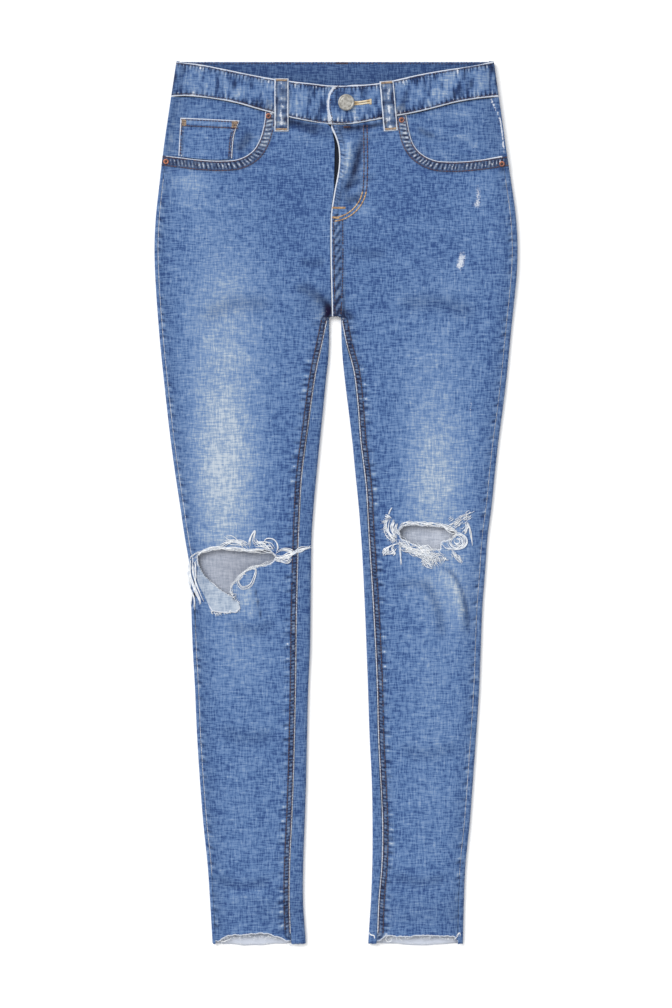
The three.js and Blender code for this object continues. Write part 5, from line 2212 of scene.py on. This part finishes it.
    def _tassel_right(self, rng: np.random.Generator) -> None:
        """Long threads that hang beside the right knee.

        Args:
            rng: Source of the unevenness.
        """
        tassel = self._frayed("tassel_threads_right", rng)
        for path, count, spread in (
                ([(-156, -58), (-159, -72), (-157.6, -88), (-152.6, -102), (-153, -115)], 5, 0.9),
                ([(-156, -60), (-157, -76), (-152, -92), (-147, -103), (-145.4, -112)], 5, 0.9),
                ([(-155, -62), (-153, -78), (-148, -92), (-141.4, -106)], 4, 0.8),
                ([(-152, -60), (-151, -72), (-150, -84)], 3, 0.8),
                ([(-157, -66), (-158.6, -82), (-155.5, -98), (-157, -112)], 4, 0.7)):
            tassel.bundle(path, count, spread, 0.5, 1.0, 0.5)
        self.hand(tassel.build(), "frayed_thread", "knee_tassel_right")

    def _tear_left(self, rng: np.random.Generator) -> None:
        """Loose threads round the left knee's tear and below it.

        Args:
            rng: Source of the unevenness.
        """
        tear = self._frayed("knee_threads_left", rng)
        hole = rounded_loop(plan_loops("front_left")[1], 2.0)
        tear.fray(closed(hole), 80, (1.0, 3.4), -1, 0.7, 0.3, 0.3, 0.6)
        tear.bundle([(65.9, -30), (72, -22.6), (90.7, -21.4), (110.2, -22.8), (123, -27)], 7, 2.0, 0.34, 4.0)
        tear.bundle([(65.2, -38.9), (73, -43.5), (83.8, -49.7), (96.1, -52.8), (108.4, -55.3), (119.2, -57)],
                    16, 4.4, 0.32, 3.0)
        tear.bundle([(84, -48), (95, -49.6), (106, -51)], 8, 3.4, 0.46, 2.0)
        tear.fray(Line([(69, -41), (83.8, -50.7), (96.1, -54.8), (119, -58)]),
                  120, (2.0, 6.5), -1, 0.7, 0.3, 0.28, 1.4)
        tear.bundle([(94, -58), (97, -62), (101, -65), (106, -69)], 6, 3.0, 0.44)
        tear.fray(Line([(92, -57), (106, -60), (112, -58)]), 26, (4, 10), -1, 0.45, 0.15, 0.3, 1.4)
        tear.bundle([(57, -14.5), (54, -20), (54.6, -28), (59.1, -34), (65.5, -39)], 7, 2.4, 0.46)
        tear.bundle([(62.2, -15.8), (60.3, -25), (62.5, -33), (67, -38)], 6, 2.0, 0.48)
        tear.bundle([(67, -20), (64, -25), (66, -31), (69, -35)], 4, 1.6, 0.44)
        tear.fray(Line([(55, -15), (54, -25), (59, -34), (66, -39)]),
                  44, (2.5, 7.5), -1, 0.35, 0.15, 0.2, 1.0)
        tear.bundle([(60.5, -2.6), (58.2, -7.5), (56.2, -12.2)], 2, 0.4, 0.50)
        tear.bundle([(51.8, -12), (56, -13.8), (61, -16)], 3, 1.0, 0.48)
        tear.bundle([(56.4, -10.5), (55.4, -13), (57.5, -16)], 2, 0.8, 0.46)
        for path in ([(66, -43), (58, -46), (52, -50), (50, -56)],
                     [(65, -46), (60, -52), (54, -53), (51, -58)],
                     [(64, -44), (61, -48), (64, -53), (60, -56)],
                     [(50.4, -47), (53, -50), (51.4, -55)],
                     [(55, -45.5), (56.4, -50), (55, -54)]):
            tear.bundle(path, 3, 1.2, 0.46)
        tear.bundle([(69.1, -42.1), (69.4, -52), (70.2, -66.6)], 3, 0.9, 0.48)
        self.hand(tear.build(), "frayed_thread", "knee_fringe_left")

    def _tuft_left(self, rng: np.random.Generator) -> None:
        """Tangled tuft at the outer end of the left knee's tear.

        Args:
            rng: Source of the unevenness.
        """
        tuft = self._frayed("tuft_threads_left", rng)
        turn = np.linspace(2.6, 2.6 - 2 * np.pi * 1.05, 20)
        tuft.bundle([(130.7 + 7.4 * math.cos(a), -40.4 + 6.8 * math.sin(a)) for a in turn], 7, 2.8, 0.44, 1.5)
        tuft.bundle([(130.7 + 3.6 * math.cos(a), -40.2 + 3.1 * math.sin(a)) for a in turn], 4, 1.2, 0.42)
        tuft.bundle([(136, -34), (140.4, -40), (136, -47), (126, -48.5), (118, -46.5), (114.6, -41)],
                    5, 1.6, 0.32)
        tuft.bundle([(137, -33), (140.5, -26), (141.5, -18)], 5, 1.6, 0.48)
        tuft.bundle([(110.1, -20.6), (116, -24), (124, -29), (131, -32)], 5, 2.0, 0.48)
        for _ in range(64):
            x = rng.uniform(119, 142)
            y = -25 + (x - 119) * 0.52 + rng.normal(0, 2.9)
            path = [(x, y), (x + 4, y + 1.8 + rng.normal(0, 1)), (x + 8 * rng.uniform(0.4, 1), y + 4.4)]
            tuft.bundle(path, 1, 0.3, 0.28, 0.5, 1.0)
        for _ in range(34):
            x = rng.uniform(122, 132)
            y = -50 - (x - 122) * 0.8 + rng.normal(0, 1.6)
            path = [(x, y), (x + 3, y - 3 + rng.normal(0, 0.8)), (x + 5 * rng.uniform(0.5, 1.2), y - 6)]
            tuft.bundle(path, 1, 0.3, 0.3, 0.5, 1.0)
        tuft.bundle([(143.2, -20.6), (144.8, -32), (146.9, -46.4)], 2, 0.7, 0.44)
        tuft.bundle([(139.5, -20), (143.4, -24), (143.8, -29)], 3, 0.8, 0.44)
        self.hand(tuft.build(), "frayed_thread", "knee_tuft_left")

    def build_hems(self) -> None:
        """Loose threads along the raw hems."""
        for side in Side:
            rng = np.random.default_rng(300 + side.value)
            word = side.word
            edge = plan_loops(f"hem_fringe_{word}")[0]
            low, high = edge[:, 0].min(), edge[:, 0].max()
            spread = high - low
            front = Line([(x, -465.6 + 1.6 * math.sin(x * 0.31) - 5.5 * ((2 * x - low - high) / spread) ** 6)
                          for x in np.linspace(low, high, 24)])
            folds = self.relief.folds[side]
            outer, inner = float(folds.outer(-470)[0]), float(folds.inner(-470)[0])
            back = Line([(x, -474.2 + 0.7 * math.sin(x * 0.4))
                         for x in np.linspace(min(outer, inner) + 3, max(outer, inner) - 3, 24)])
            threads = Yarn(f"hem_threads_{word}", lambda x, y: 3.2 + 2.8 * blend(-474, -466, y),
                           self.looks.white, rng, LOOSE_SIDES)
            threads.fray(front, 70, (1.0, 2.8), -1, 0.6, 0.2, 0.16, 1.2)
            threads.fray(back, 60, (1.0, 2.2), -1, 0.6, 0.2, 0.15, 0.6)
            for _ in range(4):
                x = rng.uniform(low + 8, high - 8)
                path = [(x, -464.8), (x + rng.normal(0, 3), -467.5), (x + rng.normal(0, 4), -472)]
                threads.bundle(path, 2, 0.8, 0.16)
            if side is Side.LEFT:
                threads.bundle([(78, -454.5), (78.4, -460), (78, -465)], 2, 0.4, 0.4)
                threads.bundle([(73, -468.5), (76, -466), (80, -466), (83, -468)], 2, 0.5, 0.36)
                turn = np.linspace(0.6, 0.6 + 2 * np.pi, 16)
                threads.bundle([(57 + 3.2 * math.cos(a), -468.6 + 3.4 * math.sin(a)) for a in turn],
                               2, 0.5, 0.36)
                threads.bundle([(35, -459), (37.5, -463.4), (41, -465), (40.6, -470), (36.6, -468)],
                               3, 0.8, 0.34)
                threads.bundle([(126, -470), (130, -466), (133, -462), (134, -468)], 3, 0.8, 0.32)
            else:
                threads.bundle([(-60, -466.6), (-54, -464.8), (-49.6, -468), (-46.5, -473)], 4, 0.8, 0.34)
                threads.bundle([(-128, -468), (-122, -472), (-117, -470), (-112, -467)], 2, 0.6, 0.3)
            self.hand(threads.build(), "frayed_thread", f"hem_fringe_{word}")

    def build_stitches(self) -> None:
        """Every row of topstitching and every bar tack."""
        rng = np.random.default_rng(404)
        self._sew_panels(rng)
        self._sew_band(rng)
        self._sew_buttonhole(rng)
        self._sew_coin_pocket(rng)
        self._sew_loops(rng)
        self._sew_back(rng)
        inner = Yarn("topstitch_inner_band", lambda x, y: self.relief.low(y) + BAND + 0 * x,
                     self.looks.brown, rng)
        inner.sew(Line([(-164, 474.6), (0, 474.9), (164, 474.6)]), 2.4, 1.0, 0.36, 0.05)
        inner.tack((-0.2, 475.2), (13, 475.2), 2.0)
        self.hand(inner.build(), "sewing_thread")

    def _sew_panels(self, rng: np.random.Generator) -> None:
        """Pocket mouths, inseams, fly and centre front.

        Args:
            rng: Source of the unevenness.
        """
        over, looks = self.relief.panel, self.looks
        rust = Yarn("topstitch_rust", over, looks.rust, rng)
        brown = Yarn("topstitch_brown", over, looks.brown, rng)
        gold = Yarn("topstitch_gold", over, looks.gold, rng)
        for side in Side:
            hand = -side.value
            for offset in (1.6, 10.4):
                rust.sew(self.mouth[side].offset(hand * offset), 2.7, 0.7, 0.46, 0.03)
            for offset in (1.5, 6.3):
                brown.sew(self.inseam[side].offset(hand * offset), 2.5, 0.8, 0.5, 0.04)
        for offset in (0.0, 3.8):
            line = self.fly_stitch.offset(offset)
            rust.sew(line.cut(0, 72), 2.7, 0.6, 0.55, 0.03)
            gold.sew(line.cut(72, line.length), 3.0, 0.4, 0.72)
        for points in ([(-2.8, 306), (-2.4, 285), (-1.8, 240), (-1.0, 204)],
                       [(7.2, 306), (7.4, 285), (7.0, 240), (5.4, 204)]):
            brown.sew(Line(points), 2.6, 0.8, 0.46, 0.05)
        gold.tack((-4.0, 318.6), (10.2, 318.6), 2.2)
        gold.tack((-4.0, 308.2), (3.6, 307.8), 2.4)
        brown.tack((8.2, 405.6), (15.4, 405.9), 2.4)
        for yarn in (brown, rust, gold):
            self.hand(yarn.build(), "sewing_thread")

    def _sew_band(self, rng: np.random.Generator) -> None:
        """Rows along both edges of the front waistband and across its overlapping end.

        Args:
            rng: Source of the unevenness.
        """
        def band(x: Array, y: Array) -> Array:
            """Height of the band's face, which drops beyond the overlap's end."""
            return self._band_face(x, y) - self._dip(x) * (x < -9)

        rows = Yarn("topstitch_waistband", band, self.looks.brown, rng)
        for line, hand in ((self.band_low, 1), (self.band_top, -1)):
            rows.sew(line.cut(5, line.length - 7).offset(hand * 2.1), 2.5, 0.9, 0.36, 0.05)
        rows.sew(Line(OVERLAP_END).offset(-2.2), 2.4, 0.9, 0.34, 0.05)
        self.hand(rows.build(), "sewing_thread")

    def _sew_buttonhole(self, rng: np.random.Generator) -> None:
        """Close stitches round the buttonhole, with a bar tack at its end.

        Args:
            rng: Source of the unevenness.
        """
        hole = Yarn("buttonhole_thread", self._band_face, self.looks.gold_white, rng)
        path = BUTTONHOLE.path()
        for hand in (1, -1):
            places, way = path.offset(hand * 1.2).at(np.arange(0.4, path.length, 0.62))
            for place, across in zip(places, leftward(way)):
                hole.add(np.array([place + across * share for share in (-0.9, -0.45, 0.45, 0.9)]),
                         np.array([-0.2, 0.35, 0.35, -0.2]), 0.34, 0.8)
        hole.tack((37.2, 435.6), (37.2, 429.6), 2.4)
        self.hand(hole.build(), "sewing_thread")

    def _coin_face(self, x: Array, y: Array) -> Array:
        """Height of the coin pocket's face, thicker at its doubled hem."""
        return self._facing(x, y) + 1.2 + 0.35 * blend(405, 407, y)

    def _sew_coin_pocket(self, rng: np.random.Generator) -> None:
        """Rows and bar tacks of the coin pocket.

        Args:
            rng: Source of the unevenness.
        """
        coin_rows = Yarn("topstitch_coin_pocket", self._coin_face, self.looks.rust, rng)
        for drop in (1.9, 8.4):
            coin_rows.sew(Line([(-166.6, 415.8 - drop), (-104.8, 412.6 - drop)]), 2.5, 0.7, 0.42, 0.03)
        inner = Line([(-103.7, 411), (-109.1, 398.5), (-111.2, 382.3), (-111.8, 373)])
        for offset in (-1.5, -3.6):
            coin_rows.sew(inner.offset(offset), 2.5, 0.7, 0.42, 0.03)
        coin_rows.sew(Line([(-165.6, 414), (-167.8, 376)]), 2.5, 0.7, 0.42, 0.03)
        self.hand(coin_rows.build(), "sewing_thread")
        tacks = Yarn("tacks_coin_pocket", self._coin_face, self.looks.tan, rng)
        for drop in (2.2, 4.6, 7.0):
            tacks.tack((-166.2, 415 - drop), (-161.2, 414.8 - drop), 2.5)
            tacks.tack((-112.2, 413 - drop), (-105 - 0.3 * drop, 412.8 - drop), 2.5)
        self.hand(tacks.build(), "sewing_thread")

    def _sew_loops(self, rng: np.random.Generator) -> None:
        """Bar tacks at both ends of the front belt loops.

        Args:
            rng: Source of the unevenness.
        """
        loops = Yarn("tacks_belt_loops",
                     lambda x, y: self.relief.bare(x, y) + 1.3 + 1.4 * blend(413, 417, y),
                     self.looks.tan, rng)
        half = 5.9
        for x, top, _, foot, lean in FRONT_LOOPS.values():
            for y, lift in ((top - 1.9, 0.0), (foot + 2.2, 0.1)):
                shift = lean * ((top + foot) / 2 - y)
                loops.tack((x + shift - half, y - lean * half), (x + shift + half, y + lean * half), 2.3, 20,
                           0.25 + lift)
        self.hand(loops.build(), "sewing_thread")

    def _sew_back(self, rng: np.random.Generator) -> None:
        """Yoke seams, seat seam and back pockets, on faces that look down.

        Args:
            rng: Source of the unevenness.
        """
        low = Yarn("topstitch_back", lambda x, y: np.maximum(self.relief.low(y), 0.75), self.looks.rust, rng)
        for side in Side:
            sign = side.value
            seam = Line([(sign * t, YOKE_SEAM[0] + YOKE_SEAM[1] * t / YOKE_SEAM[2])
                         for t in np.linspace(3, 176, 30)])
            for offset in (2.2, 6.4):
                low.sew(seam.offset(-sign * offset), 2.6, 0.9, 0.3)
        for offset in (3.0, 8.0):
            low.sew(Line([(CENTRE_BACK_X + offset, 380), (CENTRE_BACK_X + offset, 206)]), 2.6, 0.9, 0.3)
        low.flip()
        self.hand(low.build(), "sewing_thread")
        patch = Yarn("topstitch_back_pockets", lambda x, y: 0.62 + 0.0 * x, self.looks.rust, rng)
        for side in Side:
            loop = plan_loops(f"back_pocket_{side.word}")[0]
            ring = closed(loop)
            for offset in (2.0, 6.5):
                patch.sew(Line(ring.offset(offset).points, smooth=0), 2.6, 0.9, 0.3)
        patch.flip()
        self.hand(patch.build(), "sewing_thread")

    def build_metal(self) -> None:
        """Button and rivets."""
        x, y = BUTTON_AT
        base = float(self._band_face(np.array([x]), np.array([y]))[0]) + 0.3
        self.hand(turned("shank_button", BUTTON_PROFILE, (x, y, base), [self.looks.button], dents=True),
                  "button_metal", "button")
        for node, (rx, ry) in RIVETS.items():
            foot = float(self.relief.panel(np.array([rx]), np.array([ry]))[0]) + 0.1
            cap = turned(node.replace("rivet", "stud"), RIVET_PROFILE, (rx, ry, foot),
                         [self.looks.rivet, self.looks.rivet_ring], second=(0.0, 1.3))
            self.hand(cap, "rivet_copper", node)


def tooth_at(x: float, y: float, hand: int) -> Array:
    """Outline of one zip tooth that reaches across the middle from its side.

    Args:
        x: Middle of the zip.
        y: Middle of the tooth.
        hand: Side that it grows from, +1 or -1.

    Returns:
        Closed outline.
    """
    half = np.array([(-2.2, 0.34), (-0.3, 0.34), (0.1, 0.5), (0.7, 0.46), (0.95, 0.0)])
    loop = np.vstack([half, half[-2::-1] * (1, -1)])
    return loop[::hand] * (-hand, 1) + (x, y)


def stamped(name: str, loops: Sequence[Array], base: Field, span: tuple[float, float],
            look: Material) -> Object:
    """Small metal bodies with softened upper edges, each standing on an outline.

    Args:
        name: The piece's name.
        loops: Their outlines in plan.
        base: Height of the surface that they lie on.
        span: Heights of their foot and top above it.
        look: Their material.

    Returns:
        The new object, all bodies in one mesh.
    """
    places, faces, done = [], [], 0
    for loop in loops:
        middle, count = loop.mean(axis=0), len(loop)
        foot = float(base(middle[:1], middle[1:])[0])
        soft = min(0.2, (span[1] - span[0]) / 3)
        from_middle = loop - middle
        share = 1 - soft / np.maximum(np.linalg.norm(from_middle, axis=1), 1)
        inset = middle + from_middle * share[:, None]
        for ring, height in ((loop, span[0]), (loop, span[1] - soft), (inset, span[1])):
            places.append(columns(ring, np.full(count, foot + height)))
        places.append([(*middle, foot + span[0]), (*middle, foot + span[1])])
        i = np.arange(count)
        j = (i + 1) % count
        for low in (done, done + count):
            faces.append(quads(low + i, low + j, low + count + j, low + count + i))
        faces.append(columns(done + j, done + i, np.full(count, done + 3 * count)))
        faces.append(done + columns(2 * count + i, 2 * count + j, np.full(count, 3 * count + 1)))
        done += 3 * count + 2
    return build_mesh(name, np.vstack(places), np.vstack(faces), [look])


def turned(name: str, profile: Points, at: tuple[float, float, float],
           looks: Sequence[Material], dents: bool = False,
           second: tuple[float, float] | None = None) -> Object:
    """Turns a profile of radius and height about a vertical axis.

    Args:
        name: The piece's name.
        profile: Radius and height pairs, from the axis at the foot to the axis at the top.
        at: Foot of the axis.
        looks: Materials.
        dents: Whether the face is hammered with shallow marks.
        second: Radii between which the upper face takes the second material.

    Returns:
        The new object.
    """
    count = 48
    angle = np.arange(count) * 2 * np.pi / count
    radius, height = (np.array([p[k] for p in profile]) for k in (0, 1))
    ring = np.stack([radius[:, None] * np.cos(angle), radius[:, None] * np.sin(angle),
                     np.broadcast_to(height[:, None], (len(profile), count)).copy()], axis=-1)
    if dents:
        face = (radius < 5.4) & (height > 2.5)
        x, y = ring[..., 0], ring[..., 1]
        waves = 0.04 * np.sin(x * 1.7 + y * 0.9) * np.sin(y * 1.5 - x * 0.6)
        ring[face, :, 2] += waves[face]
    i, k = np.meshgrid(np.arange(len(profile) - 1), np.arange(count), indexing="ij")
    a, b = (i * count + k).ravel(), (i * count + (k + 1) % count).ravel()
    faces = quads(a, b, b + count, a + count)
    look = np.zeros(len(faces), int)
    if second:
        middle = (radius[:-1] + radius[1:]) / 2
        marked = (middle > second[0]) & (middle < second[1]) & (height[:-1] > 0.3)
        look = np.tile(marked[i.ravel()].astype(int), 2)
    places = ring.reshape(-1, 3) + np.array(at)
    return build_mesh(name, places, faces, looks, look)


@dataclass(frozen=True)
class Buttonhole:
    """Keyhole cut at the end of the waistband's overlap."""

    x: float = 11.0
    y: float = 431.5
    end_x: float = 36.5
    end_y: float = 432.8
    half: float = 0.5

    def path(self) -> Line:
        """Middle of the cut, from the button outwards."""
        middle = ((self.x + self.end_x) / 2, self.y - 0.4)
        return Line([(self.x, self.y), middle, (self.end_x, self.end_y)], smooth=1.2)

    def cut(self) -> Array:
        """Outline of the cut."""
        line = self.path()
        return np.vstack([line.offset(self.half).points, line.offset(-self.half).points[::-1]])


BUTTONHOLE = Buttonhole()


# --- Camera, light and floor ---


@dataclass(frozen=True)
class Studio:
    """Straight-down view of a white surface under soft light from the upper left."""

    height: float = 2.57
    lens: float = 85.0
    sun: float = 2.55
    spread: float = 34.0
    ambient: float = 0.87

    def build(self) -> None:
        """Makes the camera, the light and the floor."""
        scene = bpy.context.scene
        scene.view_settings.view_transform = "Standard"
        camera = bpy.data.objects.new("camera", bpy.data.cameras.new("camera"))
        camera.data.lens, camera.data.sensor_width = self.lens, 36.0
        camera.data.clip_start, camera.data.clip_end = 0.1, 20.0
        camera.location = (0, 0, self.height)
        scene.collection.objects.link(camera)
        scene.camera = camera
        light = bpy.data.objects.new("key", bpy.data.lights.new("key", "SUN"))
        light.data.energy, light.data.angle = self.sun, math.radians(self.spread)
        light.location = (-1.5, 1.4, 2.1)
        light.rotation_euler = (-Vector(light.location)).to_track_quat("-Z", "Y").to_euler()
        scene.collection.objects.link(light)
        world = bpy.data.worlds.new("studio")
        world.use_nodes = True
        world.node_tree.nodes["Background"].inputs[0].default_value = (1, 1, 1, 1)
        world.node_tree.nodes["Background"].inputs[1].default_value = self.ambient
        scene.world = world
        size = 4.0
        floor = build_mesh("floor", np.array([(-size, -size, 0), (size, -size, 0), (size, size, 0),
                                              (-size, size, 0)]) / MM, np.array([(0, 1, 2), (0, 2, 3)]), [])
        floor.data.materials.append(finished(*new_look("floor_white"), Base_Color=(0.92, 0.92, 0.92, 1),
                                             Roughness=1.0, Specular_IOR_Level=0.0))


def main() -> None:
    """Builds the garment, then the studio."""
    logging.basicConfig(level=logging.INFO, format="%(message)s")
    jeans = Jeans()
    jeans.build_back()
    jeans.build_under()
    jeans.build_front()
    jeans.build_zip()
    jeans.build_band()
    jeans.build_loops()
    jeans.build_knees()
    jeans.build_hems()
    jeans.build_stitches()
    jeans.build_metal()
    Studio().build()


if __name__ == "__main__":
    main()
